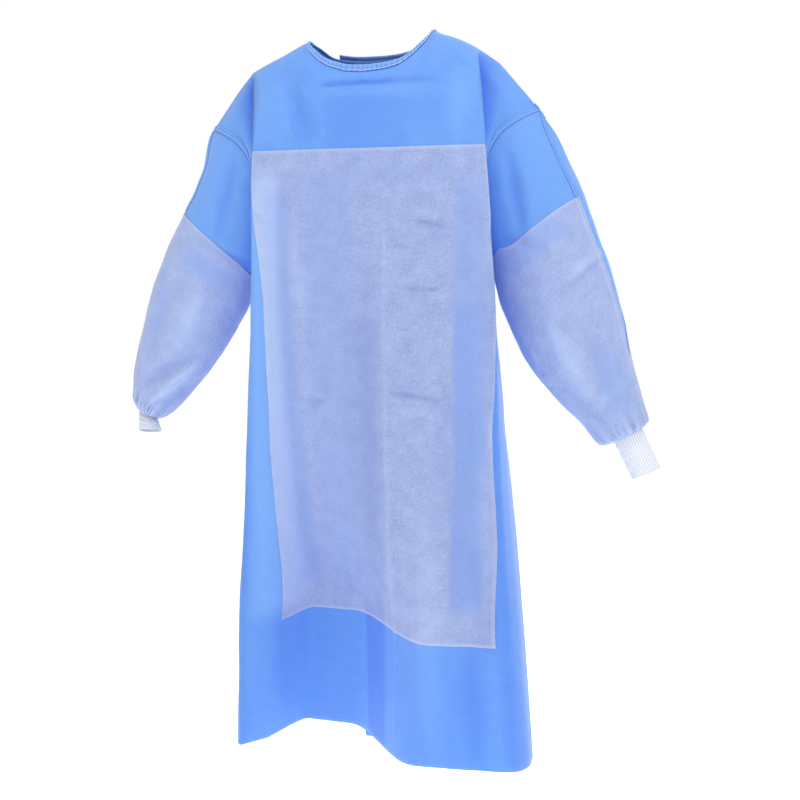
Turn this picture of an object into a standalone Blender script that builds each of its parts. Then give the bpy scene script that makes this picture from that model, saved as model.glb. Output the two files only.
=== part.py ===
"""A reinforced surgical gown, filled out as it is when worn, with nobody in it.

Metres, +Z up. X runs to the wearer's left, -Y is the front. The origin is the middle of the neck
opening, level with the tops of the shoulders, where the wearer's shoulders hold the gown up.
Every panel is a thin wall lofted through rows: the row's height, its fold corners and its side
edge come from the short tables below, and threads are laid across each row by their real spacing.
"""

import bmesh
import bpy
import numpy as np
from mathutils import Vector
from mathutils.bvhtree import BVHTree

CLOTH = 0.0012
PATCH_CLOTH = 0.0010
KNIT = 0.0018
SEAM_GAP = 0.0003
LAYER_GAP = 0.0003
OVERLAP_STEP = 0.0070

HEM_Z = -1.218
PATCH_BOTTOM_Z = -1.000
UNDERARM_Z = -0.325
PATCH_TOP_Z = -0.190
NECK_FRONT_Z = -0.060
CHEST_Z = -0.300
CHEST_LEAN = 0.014

CREASE_X = 0.015
CENTRE_DEPTH = {"front": -0.112, "back": 0.105}
CROWN = {"front": 0.008, "back": 0.012}

GATHERS = 9
CUFF_SIDES = 20
CUFF_INSIDE = 0.010

BINDING = 0.0008
BINDING_WIDTH = 0.0090
BINDING_PARTS = 3
BINDING_LIP = 0.0025
BINDING_GAP = 0.0015
TAB_LIFT = 0.0012


def table(columns, *rows):
    """A table as a dict of its named columns."""
    return dict(zip(columns.split(), np.array(rows, float).T))


# The ridge of the shoulders, seen from the front, and on through the neck opening.
RIDGE = table(
    "x       z",
    (-0.290, -0.146),
    (-0.273, -0.130),
    (-0.255, -0.110),
    (-0.240, -0.084),
    (-0.219, -0.056),
    (-0.200, -0.044),
    (-0.160, -0.026),
    (-0.115, -0.0045),
    (-0.050, 0.012),
    (0.050, 0.018),
    (0.1007, 0.0067),
    (0.111, 0.0045),
    (0.145, -0.005),
    (0.180, -0.024),
    (0.204, -0.042),
    (0.231, -0.070),
    (0.278, -0.126),
)
# The neckline, from the wearer's right shoulder to the left, on the front and on the back.
NECK_FRONT = table(
    "x       y       z",
    (-0.1150, 0.0000, -0.0045),
    (-0.1060, -0.0290, -0.0110),
    (-0.0898, -0.0499, -0.0232),
    (-0.0707, -0.0601, -0.0377),
    (-0.0454, -0.0671, -0.0473),
    (-0.0234, -0.0696, -0.0522),
    (0.0004, -0.0699, -0.0530),
    (0.0331, -0.0667, -0.0497),
    (0.0531, -0.0613, -0.0449),
    (0.0777, -0.0482, -0.0316),
    (0.0920, -0.0328, -0.0144),
    (0.0975, -0.0190, -0.0035),
    (0.1007, 0.0000, 0.0067),
)
NECK_BACK = table(
    "x       y       z",
    (-0.1150, 0.0000, -0.0045),
    (-0.1060, 0.0250, -0.0110),
    (-0.0850, 0.0450, -0.0200),
    (-0.0400, 0.0580, -0.0245),
    (0.0000, 0.0600, -0.0235),
    (0.0400, 0.0530, -0.0200),
    (0.0700, 0.0420, -0.0140),
    (0.0920, 0.0240, -0.0030),
    (0.1007, 0.0000, 0.0067),
)
# The front panel's fold corner and the groove behind it, for each row, on the wearer's left.
LEFT_FOLD = table(
    "row    corner_x  groove_x  groove_y  groove_z",
    (-0.060, 0.187, 0.222, 0.000, -0.0605),
    (-0.090, 0.189, 0.209, -0.026, -0.073),
    (-0.120, 0.194, 0.206, -0.040, -0.104),
    (-0.155, 0.201, 0.208, -0.056, -0.152),
    (-0.190, 0.208, 0.205, -0.076, -0.200),
    (-0.325, 0.222, 0.207, -0.060, -0.325),
    (-0.450, 0.230, 0.214, -0.060, -0.450),
    (-0.600, 0.231, 0.233, -0.050, -0.600),
    (-0.800, 0.240, 0.252, -0.045, -0.800),
    (-1.000, 0.250, 0.268, -0.043, -1.000),
    (-1.218, 0.258, 0.277, -0.030, -1.218),
)
# The same on the wearer's right.
RIGHT_FOLD = table(
    "row    corner_x  groove_x  groove_y  groove_z",
    (-0.060, 0.187, 0.222, 0.000, -0.0645),
    (-0.090, 0.188, 0.209, -0.026, -0.077),
    (-0.120, 0.188, 0.203, -0.040, -0.108),
    (-0.155, 0.187, 0.200, -0.056, -0.155),
    (-0.190, 0.185, 0.195, -0.076, -0.203),
    (-0.325, 0.186, 0.188, -0.060, -0.325),
    (-0.450, 0.189, 0.192, -0.055, -0.450),
    (-0.600, 0.199, 0.206, -0.048, -0.600),
    (-0.800, 0.210, 0.222, -0.040, -0.800),
    (-1.000, 0.223, 0.238, -0.030, -1.000),
    (-1.218, 0.236, 0.256, -0.010, -1.218),
)
# The side seams below the underarm, and where the front and the back hang.
SIDE = table(
    "row    left_x  right_x  side_y  front_y  back_y",
    (-0.325, 0.182, 0.182, 0.004, -0.112, 0.105),
    (-0.450, 0.196, 0.186, 0.004, -0.112, 0.112),
    (-0.600, 0.222, 0.203, 0.010, -0.108, 0.120),
    (-0.800, 0.246, 0.221, 0.018, -0.104, 0.136),
    (-1.000, 0.262, 0.237, 0.022, -0.098, 0.158),
    (-1.218, 0.273, 0.255, 0.022, -0.075, 0.182),
)
# The deep fold that opens down the front, left of the middle as one looks at it.
VALLEY = table(
    "row    left_foot  left_floor  right_floor  right_foot  depth",
    (-0.450, -0.200, -0.110, -0.080, 0.090, 0.000),
    (-0.600, -0.200, -0.115, -0.080, 0.090, 0.022),
    (-0.800, -0.202, -0.120, -0.078, 0.092, 0.075),
    (-1.000, -0.205, -0.122, -0.052, 0.116, 0.132),
    (-1.218, -0.232, -0.146, -0.070, 0.090, 0.136),
)
# Real distances of the chest patch's side edges from the pressed crease.
PATCH = table(
    "row    left_edge  right_edge",
    (-0.190, 0.190, 0.196),
    (-0.325, 0.208, 0.190),
    (-0.450, 0.216, 0.179),
    (-0.600, 0.228, 0.180),
    (-0.800, 0.234, 0.205),
    (-1.000, 0.250, 0.236),
)
# The armhole seams, once round: from the shoulder point down the front to the underarm.
LEFT_ARMHOLE = table(
    "turn  x      y       z",
    (0.00, 0.278, 0.000, -0.126),
    (0.08, 0.252, -0.030, -0.141),
    (0.16, 0.219, -0.047, -0.168),
    (0.25, 0.197, -0.054, -0.212),
    (0.37, 0.185, -0.042, -0.275),
    (0.50, 0.182, 0.004, -0.325),
    (0.63, 0.188, 0.052, -0.280),
    (0.75, 0.207, 0.068, -0.220),
    (0.87, 0.243, 0.046, -0.160),
    (1.00, 0.278, 0.000, -0.126),
)
RIGHT_ARMHOLE = table(
    "turn  x      y       z",
    (0.00, 0.290, 0.000, -0.146),
    (0.08, 0.261, -0.030, -0.156),
    (0.16, 0.226, -0.047, -0.177),
    (0.25, 0.199, -0.054, -0.216),
    (0.37, 0.185, -0.042, -0.275),
    (0.50, 0.182, 0.004, -0.325),
    (0.63, 0.188, 0.052, -0.280),
    (0.75, 0.207, 0.068, -0.224),
    (0.87, 0.248, 0.046, -0.173),
    (1.00, 0.290, 0.000, -0.146),
)
# The sleeves from the armhole to the cuff: outer and inner edge seen from the front, half depth.
LEFT_SLEEVE = table(
    "along outer_x outer_z inner_x inner_z half_depth middle_y",
    (0.00, 0.278, -0.126, 0.182, -0.325, 0.056, 0.000),
    (0.12, 0.309, -0.174, 0.192, -0.352, 0.062, 0.002),
    (0.28, 0.351, -0.266, 0.202, -0.390, 0.062, 0.004),
    (0.45, 0.384, -0.351, 0.213, -0.437, 0.058, 0.004),
    (0.60, 0.409, -0.431, 0.243, -0.505, 0.054, 0.004),
    (0.70, 0.423, -0.488, 0.274, -0.554, 0.050, 0.003),
    (0.79, 0.435, -0.537, 0.306, -0.592, 0.045, 0.002),
    (0.88, 0.447, -0.587, 0.349, -0.631, 0.038, 0.001),
    (0.955, 0.456, -0.627, 0.388, -0.667, 0.029, 0.000),
    (1.00, 0.4475, -0.640, 0.4085, -0.6615, 0.0155, 0.000),
)
RIGHT_SLEEVE = table(
    "along outer_x outer_z inner_x inner_z half_depth middle_y",
    (0.00, 0.290, -0.146, 0.182, -0.325, 0.056, 0.000),
    (0.05, 0.301, -0.167, 0.185, -0.334, 0.059, 0.001),
    (0.12, 0.307, -0.199, 0.192, -0.352, 0.062, 0.002),
    (0.20, 0.317, -0.232, 0.202, -0.373, 0.063, 0.003),
    (0.28, 0.344, -0.285, 0.212, -0.396, 0.062, 0.004),
    (0.45, 0.380, -0.357, 0.232, -0.446, 0.058, 0.004),
    (0.60, 0.411, -0.436, 0.257, -0.492, 0.054, 0.003),
    (0.70, 0.425, -0.490, 0.286, -0.534, 0.050, 0.001),
    (0.79, 0.435, -0.533, 0.316, -0.574, 0.045, -0.002),
    (0.88, 0.442, -0.574, 0.348, -0.612, 0.038, -0.005),
    (0.955, 0.443, -0.609, 0.384, -0.641, 0.029, -0.008),
    (1.00, 0.4375, -0.629, 0.4005, -0.6485, 0.0145, -0.011),
)
# Each cuff: where its lower end lies, its half sizes there, and its room in the sleeve's end.
CUFF_END = {
    "left": dict(x=0.4585, y=0.004, z=-0.7135, half_width=0.0255, half_depth=0.0165, room=0.0010),
    "right": dict(x=0.4070, y=-0.022, z=-0.6652, half_width=0.0215, half_depth=0.0155, room=0.0030),
}
PATCH_ALONG = 0.28
GATHER_ALONG = 0.84
SLEEVE_END_ALONG = 0.955

# How far each back panel reaches past the middle, at its free edge.
BACK_EDGE = table(
    "row    left_x  right_x",
    (-0.060, -0.078, 0.066),
    (-0.190, -0.082, 0.074),
    (-0.600, -0.095, 0.095),
    (-1.000, -0.090, 0.120),
    (-1.218, -0.072, 0.130),
)
# How far the left back's free corner hangs below the hem, over which width, and where it starts.
DROOP = {"drop": 0.047, "full": 0.045, "width": 0.200, "height": 0.260}

# Quads between the named lines of a panel: in rows from the hem up, in columns from the side.
ROW_COUNTS = ((HEM_Z, 4), (PATCH_BOTTOM_Z, 8), (UNDERARM_Z, 4), (PATCH_TOP_Z, 7))
SIDE_COUNTS = (2, 2, 1, 3)
NECK_COUNT = 8
BACK_COUNT = 9

COLOURS = {
    "blue_nonwoven": (0.135, 0.325, 0.83),
    "reinforcement": (0.33, 0.42, 0.74),
    "neck_binding": (0.20, 0.42, 0.85),
    "white_knit": (0.78, 0.80, 0.86),
    "white_tape": (0.85, 0.86, 0.88),
}


def read(rows, name, at):
    """A table's column at any value of its first column, on a curve with no overshoot."""
    keys = list(rows)
    x, y = rows[keys[0]], rows[name]
    if x[0] > x[-1]:
        x, y = x[::-1], y[::-1]
    step = np.diff(x)
    slope = np.diff(y) / step
    inner = np.where(slope[:-1] * slope[1:] > 0, 1, 0)
    mean = 2 * slope[:-1] * slope[1:] / np.where(inner, slope[:-1] + slope[1:], 1)
    tangent = np.concatenate([[slope[0]], inner * mean, [slope[-1]]])
    i = np.clip(np.searchsorted(x, at) - 1, 0, len(step) - 1)
    t = np.clip((at - x[i]) / step[i], 0, 1)
    return (
        (1 + 2 * t) * (1 - t) ** 2 * y[i]
        + t * (1 - t) ** 2 * step[i] * tangent[i]
        + t * t * (3 - 2 * t) * y[i + 1]
        + t * t * (t - 1) * step[i] * tangent[i + 1]
    )


def smooth(low, high, at):
    """0 below low, 1 above high, and a soft step between."""
    t = np.clip((at - low) / (high - low), 0, 1)
    return t * t * (3 - 2 * t)


def armhole(side, turn):
    """A point of the armhole seam; turn runs 0 to 1 once round."""
    seam = LEFT_ARMHOLE if side == "left" else RIGHT_ARMHOLE
    point = np.array([read(seam, axis, turn) for axis in "xyz"])
    return point * (1 if side == "left" else -1, 1, 1)


def valley(row, x):
    """How far the deep fold sinks back from the front at this row."""
    rise = smooth(read(VALLEY, "left_foot", row), read(VALLEY, "left_floor", row), x)
    fall = smooth(read(VALLEY, "right_floor", row), read(VALLEY, "right_foot", row), x)
    return read(VALLEY, "depth", row) * rise * (1 - fall) * (row < -0.45)


def middle(face, row, x):
    """Points of the panel's middle part at these x, where it hangs free between its folds."""
    neckline = NECK_FRONT if face == "front" else NECK_BACK
    crown = CROWN[face] * (((x - CREASE_X) / 0.2) ** 2)
    drop = read(RIDGE, "z", x) - CHEST_Z
    level = min(row, PATCH_TOP_Z)
    hang = read(SIDE, face + "_y", max(min(level, UNDERARM_Z), HEM_Z))
    hang = hang - np.sign(CENTRE_DEPTH[face]) * crown
    angle = np.arccos(np.clip((level - CHEST_Z) / drop, 0, 1))
    rise = max(0, (row - PATCH_TOP_Z) / (NECK_FRONT_Z - PATCH_TOP_Z))
    neck_angle = np.arcsin(np.clip(np.abs(read(neckline, "y", x) / hang), 0, 0.9))
    angle = angle + (neck_angle - angle) * rise
    z = CHEST_Z + drop * np.cos(angle) if level > CHEST_Z else np.full(x.shape, row)
    inside = (x > neckline["x"][0]) & (x < neckline["x"][-1])
    dip = read(neckline, "z", x) - (CHEST_Z + drop * np.cos(neck_angle))
    z = z + rise**2 * dip * inside
    y = hang * np.sin(angle)
    z = z + CHEST_LEAN * smooth(UNDERARM_Z, PATCH_TOP_Z, level) * (1 - rise) * (x + 0.19)
    if face == "front":
        sunk = valley(row, x)
        shift = hang - CENTRE_DEPTH["front"]
        y = y + sunk
        z = z + sunk * (sunk + 2 * shift) / (2 * max(CHEST_Z - row, 0.1))
    return np.stack([x, y, z], axis=-1)


def seam_edge(side, face, row):
    """The panel's side edge: the side seam up to the underarm, then the armhole."""
    if row <= UNDERARM_Z:
        sign = 1 if side == "left" else -1
        x = sign * read(SIDE, side + "_x", row)
        return np.array([x, read(SIDE, "side_y", row), row])
    heights = (UNDERARM_Z, PATCH_TOP_Z, NECK_FRONT_Z)
    turn = np.interp(row, heights, (0.5, 0.25, 0.0))
    return armhole(side, turn if face == "front" else 1 - turn)


def bend(start, corner, end):
    """A soft curve from start to end that turns at the corner."""
    t = np.linspace(0, 1, 9)[:, None]
    return (1 - t) ** 2 * start + 2 * t * (1 - t) * corner + t * t * end


def toward(start, end, reach):
    """The point this far from start toward end, at most a bit less than half way."""
    step = end - start
    size = max(np.linalg.norm(step), 1e-9)
    return start + step / size * min(reach, 0.45 * size)


def folded(edge, groove, run, cut):
    """A line from the edge over the groove and round the fold corner, and what is left of run."""
    corner = run[0]
    kept = run[np.linalg.norm(run - corner, axis=1) >= cut]
    dip = bend(toward(groove, edge, cut), groove, toward(groove, corner, cut))
    fold = bend(toward(corner, groove, cut), corner, kept[0])
    return np.concatenate([[edge], dip, fold, kept[1:]]), kept


def half_row(side, face, row, end_x):
    """A dense line along one row from the side edge to end_x, and the places of its key lines.

    The keys are the edge, the groove, the fold corner, the patch's edge, the neck point and end_x.
    """
    sign = 1 if side == "left" else -1
    fold = LEFT_FOLD if side == "left" else RIGHT_FOLD
    edge = seam_edge(side, face, row)
    corner_x = sign * read(fold, "corner_x", row)
    if face == "front":
        names = ("groove_x", "groove_y", "groove_z")
        groove = np.array([read(fold, name, row) for name in names]) * (sign, 1, 1)
    else:
        rise = smooth(PATCH_TOP_Z, NECK_FRONT_Z, row)
        corner_x = corner_x * (1 - 0.22 * (1 - rise))
        corner = middle(face, row, np.array([corner_x]))[0]
        groove = 0.5 * (edge + corner) + (1 - rise) * np.array([sign * 0.022, 0.016, 0])
        on_ridge = sign * read(fold, "groove_x", NECK_FRONT_Z)
        top = np.array([on_ridge, 0, read(RIDGE, "z", on_ridge)])
        groove = groove + smooth(-0.12, NECK_FRONT_Z, row) * (top - groove)
    xs = np.linspace(corner_x, end_x, 60)
    run = middle(face, row, xs)
    rise = max(0, (row - PATCH_TOP_Z) / (NECK_FRONT_Z - PATCH_TOP_Z))
    cut = np.interp(row, (HEM_Z, -0.6, -0.45), (0.022, 0.014, 0.006))
    if face == "back":
        cut = np.interp(row, (-0.12, NECK_FRONT_Z), (0.035, 0.006))
    line, kept = folded(edge, groove, run, cut)
    along = np.concatenate([[0], np.cumsum(np.linalg.norm(np.diff(line, axis=0), axis=1))])
    nearest = lambda p: along[np.argmin(np.linalg.norm(line - p, axis=1))]
    at_x = lambda x: np.interp(-sign * x, -sign * kept[:, 0], along[-len(kept) :])
    corner_at = nearest(run[0])
    neck_at = at_x(NECK_FRONT["x"][-1 if side == "left" else 0])
    patch_at = corner_at + 0.006
    if face == "front":
        reach = read(PATCH, side + "_edge", np.clip(row, PATCH_BOTTOM_Z, PATCH_TOP_Z))
        patch_at = patch_at + (1 - rise) * max(0, at_x(CREASE_X) - reach - patch_at)
    neck_at = max(neck_at, patch_at + 0.02)
    return line, along, np.array([0, nearest(groove), corner_at, patch_at, neck_at, along[-1]])


def threads(counts):
    """Where each thread lies among the key lines: 1.5 is half way from key 1 to key 2."""
    parts = [i + np.arange(n) / n for i, n in enumerate(counts)]
    return np.concatenate([*parts, [len(counts)]])


def lay(line, along, keys, counts):
    """The row's points, one for each thread."""
    at = np.interp(threads(counts), np.arange(len(keys)), keys)
    return np.stack([np.interp(at, along, line[:, k]) for k in range(3)], axis=-1)


def rows():
    """The names of the rows: each one's height at the middle of the front, up to the neckline."""
    tops = [z for z, _ in ROW_COUNTS[1:]] + [NECK_FRONT_Z]
    parts = [np.linspace(z, top, n + 1)[:-1] for (z, n), top in zip(ROW_COUNTS, tops)]
    return np.concatenate([*parts, [NECK_FRONT_Z]])


def front_points():
    """The front panel's points, rows from the hem up, columns from the wearer's right."""
    grid = []
    for row in rows():
        counts = (*SIDE_COUNTS, NECK_COUNT)
        right = lay(*half_row("right", "front", row, CREASE_X), counts)
        left = lay(*half_row("left", "front", row, CREASE_X), counts)
        grid.append(np.concatenate([right, left[-2::-1]]))
    return np.array(grid)


def back_points(side):
    """A back panel's points, columns from its side edge to its free edge past the middle."""
    grid = []
    for row in rows():
        end_x = read(BACK_EDGE, side + "_x", row)
        line = lay(*half_row(side, "back", row, end_x), (*SIDE_COUNTS, BACK_COUNT))
        if side == "left":
            near = smooth(end_x + DROOP["width"], end_x + DROOP["full"], line[:, 0])
            low = smooth(HEM_Z + DROOP["height"], HEM_Z, row)
            line = line - np.outer(DROOP["drop"] * near * low, (0, 0, 1))
        if side == "right":
            under = read(BACK_EDGE, "left_x", row)
            step = OVERLAP_STEP * smooth(under - 0.045, under - 0.010, line[:, 0])
            flat = middle("back", row, line[:, 0])
            line = line + (raised(row, line[:, 0], step) - flat) * (step > 0)[:, None]
        grid.append(line)
    return np.array(grid)


def sleeve_points(side, turns, alongs):
    """A sleeve's points: rings from the armhole to the cuff, columns once round."""
    rings = LEFT_SLEEVE if side == "left" else RIGHT_SLEEVE
    seam = np.array([armhole(side, turn) for turn in turns])
    angle = 2 * np.pi * turns[:, None]
    grid, first = [], None
    for along in alongs:
        centre, half = sleeve_middle(side, along)
        deep = read(rings, "half_depth", along)
        ring = centre + half * np.cos(angle) + np.array([0, -1, 0]) * deep * np.sin(angle)
        first = seam - ring if first is None else first
        ring = ring + first * (1 - smooth(0, 0.30, along))
        pucker = 0.0030 * smooth(0.84, 0.955, along) * (1 - 0.55 * smooth(0.955, 1.0, along))
        wave = 0.5 + 0.5 * np.cos(GATHERS * angle)
        spread = ring - ring.mean(axis=0)
        size = np.linalg.norm(spread, axis=1, keepdims=True)
        grid.append(ring + spread / size * pucker * wave)
    return np.array(grid)


def sleeve_middle(side, along):
    """The middle of a sleeve's ring, and the half step from it to the sleeve's outer edge."""
    rings = LEFT_SLEEVE if side == "left" else RIGHT_SLEEVE
    sign = 1 if side == "left" else -1
    outer = np.array([sign * read(rings, "outer_x", along), 0, read(rings, "outer_z", along)])
    inner = np.array([sign * read(rings, "inner_x", along), 0, read(rings, "inner_z", along)])
    middle_y = np.array([0, read(rings, "middle_y", along), 0])
    return 0.5 * (outer + inner) + middle_y, 0.5 * (outer - inner)


def cuff_points(side):
    """A cuff's points: rings from under the sleeve's gathers to its open end."""
    rings = LEFT_SLEEVE if side == "left" else RIGHT_SLEEVE
    end = CUFF_END[side]
    angle = np.linspace(0, 2 * np.pi, CUFF_SIDES, endpoint=False)[:, None]
    top, half = sleeve_middle(side, 1.0)
    inward = sleeve_middle(side, 0.93)[0] - top
    bottom = np.array([end["x"] * (1 if side == "left" else -1), end["y"], end["z"]])
    axis = (bottom - top) / np.linalg.norm(bottom - top)
    upper = half / np.linalg.norm(half)
    lower = np.cross(axis, (0, 1, 0))
    lower = lower * np.sign(np.dot(lower, upper))
    top_wide = np.linalg.norm(half) - end["room"]
    top_deep = read(rings, "half_depth", 1.0) - end["room"]
    grid = []
    for t in (-1.0, 0.0, 0.15, 0.5, 1.0):
        near = max(t, 0)
        across = (1 - near) * upper + near * lower
        forward = np.array([0, -1, 0]) - near * axis * np.dot(axis, (0, -1, 0))
        wide = (1 - near) * top_wide + near * end["half_width"]
        deep = (1 - near) * top_deep + near * end["half_depth"]
        centre = top + (bottom - top) * near
        centre = centre + inward / np.linalg.norm(inward) * CUFF_INSIDE * max(-t, 0)
        ring = centre + wide * across / np.linalg.norm(across) * np.cos(angle)
        grid.append(ring + deep * forward / np.linalg.norm(forward) * np.sin(angle))
    return np.array(grid)


def on_cloth(tree, points, normals, side):
    """The points moved along their normals onto the cloth's outer (1) or inner (-1) face."""
    out = []
    for point, normal in zip(points, normals):
        start = Vector(point + side * 0.006 * normal)
        hit = tree.ray_cast(start, Vector(-side * normal), 0.012)[0]
        out.append(hit or tree.find_nearest(Vector(point))[0])
    return np.array(out)


def binding_sections(tree, edge, normals, gap):
    """The binding's cross-sections along a neckline edge: its band, over the edge, its lip."""
    at = np.linspace(0, len(edge) - 1, BINDING_PARTS * (len(edge) - 1) + 1)
    steps = np.arange(len(edge))
    fine = lambda grid: np.stack([np.interp(at, steps, grid[:, k]) for k in range(3)], axis=-1)
    edge, normals = fine(edge), fine(normals)
    away = np.cross(normals, np.gradient(edge, axis=0))
    away = away / np.linalg.norm(away, axis=1, keepdims=True)
    outward = np.sum(away * (edge - np.array([0, 0, -0.03])), axis=1)
    away = away * np.sign(outward)[:, None]
    band = [
        on_cloth(tree, edge + reach * away, normals, 1) + gap * normals
        for reach in (BINDING_WIDTH, 0.5 * BINDING_WIDTH)
    ]
    over = edge + gap * normals - gap * away
    under = edge - (CLOTH + gap) * normals - gap * away
    lip = on_cloth(tree, edge + BINDING_LIP * away, normals, -1) - gap * normals
    return np.array([*band, over, under, lip])


def raised(row, x, height):
    """Points this far out from the middle of the back, along its own normals."""
    at = middle("back", row, x)
    up = middle("back", row + 0.002, x) - at
    across = middle("back", row, x + 0.002) - at
    normal = np.cross(up, across)
    height = np.broadcast_to(height, x.shape)[:, None]
    return at + height * normal / np.linalg.norm(normal, axis=1, keepdims=True)


def tab_points(lift):
    """The closing tab's points, from the right back over its free edge onto the left back."""
    grid = []
    for row in (-0.112, -0.090):
        free = read(BACK_EDGE, "right_x", row)
        x = np.linspace(free - 0.045, free + 0.028, 11)
        step = OVERLAP_STEP * (1 - smooth(free + 0.003, free + 0.014, x))
        grid.append(raised(row, x, step + lift))
    return np.array(grid)


def place(point):
    """A point's place, rounded, as a key that panels joined at a seam share."""
    return tuple(np.round(point, 6))


def add_normals(found, grid, flip, closed=False):
    """Adds each quad's outward normal to the sums kept for its corners."""
    if closed:
        grid = np.concatenate([grid, grid[:, :1]], axis=1)
    a = grid[1:, 1:] - grid[:-1, :-1]
    b = grid[:-1, 1:] - grid[1:, :-1]
    normal = np.cross(a, b) * (-1 if flip else 1)
    for i, j in np.ndindex(normal.shape[:2]):
        for corner in ((i, j), (i + 1, j), (i, j + 1), (i + 1, j + 1)):
            key = place(grid[corner])
            found[key] = found.get(key, 0) + normal[i, j]


def normals_of(found, grid):
    """The shared unit normals at a grid's points; on the ridge they lean to neither side."""
    out = np.array([[found[place(point)] for point in line] for line in grid])
    out[..., 1] = np.where(np.abs(grid[..., 1]) < 1e-7, 0, out[..., 1])
    return out / np.linalg.norm(out, axis=-1, keepdims=True)


def drawn_in(grid, edges):
    """The grid with the named edges drawn in by half a seam gap."""
    out = grid.copy()
    pairs = {"low": (0, 1), "high": (-1, -2)}
    for edge in edges:
        axis, end = edge.split("-")
        first, second = pairs[end]
        at = (first,) if axis == "row" else (slice(None), first)
        beside = (second,) if axis == "row" else (slice(None), second)
        step = grid[beside] - grid[at]
        size = np.maximum(np.linalg.norm(step, axis=-1, keepdims=True), 1e-9)
        out[at] = out[at] + step / size * (0.5 * SEAM_GAP + 0.0001)
    return out


def wall(name, outer, inner, colour, closed=False, flip=False):
    """A closed wall between an outer and an inner grid of points, as a named object."""
    mesh = bpy.data.meshes.new(name)
    bm = bmesh.new()
    lines, count = outer.shape[:2]
    make = lambda grid: [[bm.verts.new(point) for point in line] for line in grid]
    skins = (make(outer), make(inner))
    spans = range(count if closed else count - 1)
    ring = lambda skin, i, j: skin[i][j % count]

    def quad(corners, turn):
        bm.faces.new(corners[::-1] if turn else corners)

    for skin, turn in zip(skins, (flip, not flip)):
        for i in range(lines - 1):
            for j in spans:
                four = [(i, j), (i, j + 1), (i + 1, j + 1), (i + 1, j)]
                quad([ring(skin, *at) for at in four], turn)
    for i, turn in ((0, not flip), (lines - 1, flip)):
        for j in spans:
            four = [(0, j), (0, j + 1), (1, j + 1), (1, j)]
            quad([ring(skins[s], i, at) for s, at in four], turn)
    if not closed:
        for j, turn in ((0, flip), (count - 1, not flip)):
            for i in range(lines - 1):
                four = [(0, i), (0, i + 1), (1, i + 1), (1, i)]
                quad([skins[s][at][j] for s, at in four], turn)
    bmesh.ops.triangulate(bm, faces=bm.faces)
    bm.to_mesh(mesh)
    bm.free()
    mesh.shade_smooth()
    part = bpy.data.objects.new(name, mesh)
    part.data.materials.append(material(colour))
    bpy.data.collections["surgical_gown"].objects.link(part)
    return part


def material(colour):
    """One Principled material for each cloth."""
    found = bpy.data.materials.get(colour)
    if found is None:
        found = bpy.data.materials.new(colour)
        found.use_nodes = True
        shader = found.node_tree.nodes["Principled BSDF"]
        shader.inputs["Base Color"].default_value = (*COLOURS[colour], 1)
        shader.inputs["Roughness"].default_value = 0.8
    return found


def clear_scene():
    """Removes what the scene holds, and makes the gown's collection."""
    for old in list(bpy.data.objects):
        bpy.data.objects.remove(old)
    bpy.context.scene.collection.children.link(bpy.data.collections.new("surgical_gown"))


def sleeve_rings():
    """Where the sleeve's rings lie along it, with one at each end of its patch."""
    parts = (
        np.linspace(0, PATCH_ALONG, 6)[:-1],
        np.linspace(PATCH_ALONG, GATHER_ALONG, 7)[:-1],
        (GATHER_ALONG, 0.90, SLEEVE_END_ALONG, 0.98, 1.0),
    )
    return np.concatenate(parts)


def sleeve_turns():
    """Where the sleeve's columns lie round it, to meet the rows of the body."""
    upper = [row for row in rows() if row >= UNDERARM_Z - 1e-9]
    heights = (UNDERARM_Z, PATCH_TOP_Z, NECK_FRONT_Z)
    front = np.interp(upper, heights, (0.5, 0.25, 0.0))[::-1]
    return np.concatenate([front, 1 - front[-2:0:-1]])


def panel(name, grid, normals, colour, edges, closed=False, flip=False, lift=0.0, thick=CLOTH):
    """One piece of cloth on a grid, lifted off it by its under side's gap."""
    outer = drawn_in(grid + (lift + (thick if lift else 0)) * normals, edges)
    inner = drawn_in(grid + (lift - (0 if lift else thick)) * normals, edges)
    return wall(name, outer, inner, colour, closed, flip)


def binding(name, cloth, grid, normals, first, last, flip):
    """The binding along part of a panel's top edge."""
    edge, up = grid[-1, first : last + 1], normals[-1, first : last + 1]
    places = [corner.co[:] for corner in cloth.data.vertices]
    tree = BVHTree.FromPolygons(places, [face.vertices[:] for face in cloth.data.polygons])
    outer = binding_sections(tree, edge, up, BINDING_GAP + BINDING)
    inner = binding_sections(tree, edge, up, BINDING_GAP)
    skins = [drawn_in(skin, ("column-low", "column-high")) for skin in (outer, inner)]
    for skin in skins:
        for end in (0, -1):
            if abs(edge[end, 1]) < 1e-7:
                skin[:, end, 1] = np.sign(edge[len(edge) // 2, 1]) * 0.0002
    wall(name, *skins, "neck_binding", flip=flip)


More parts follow.
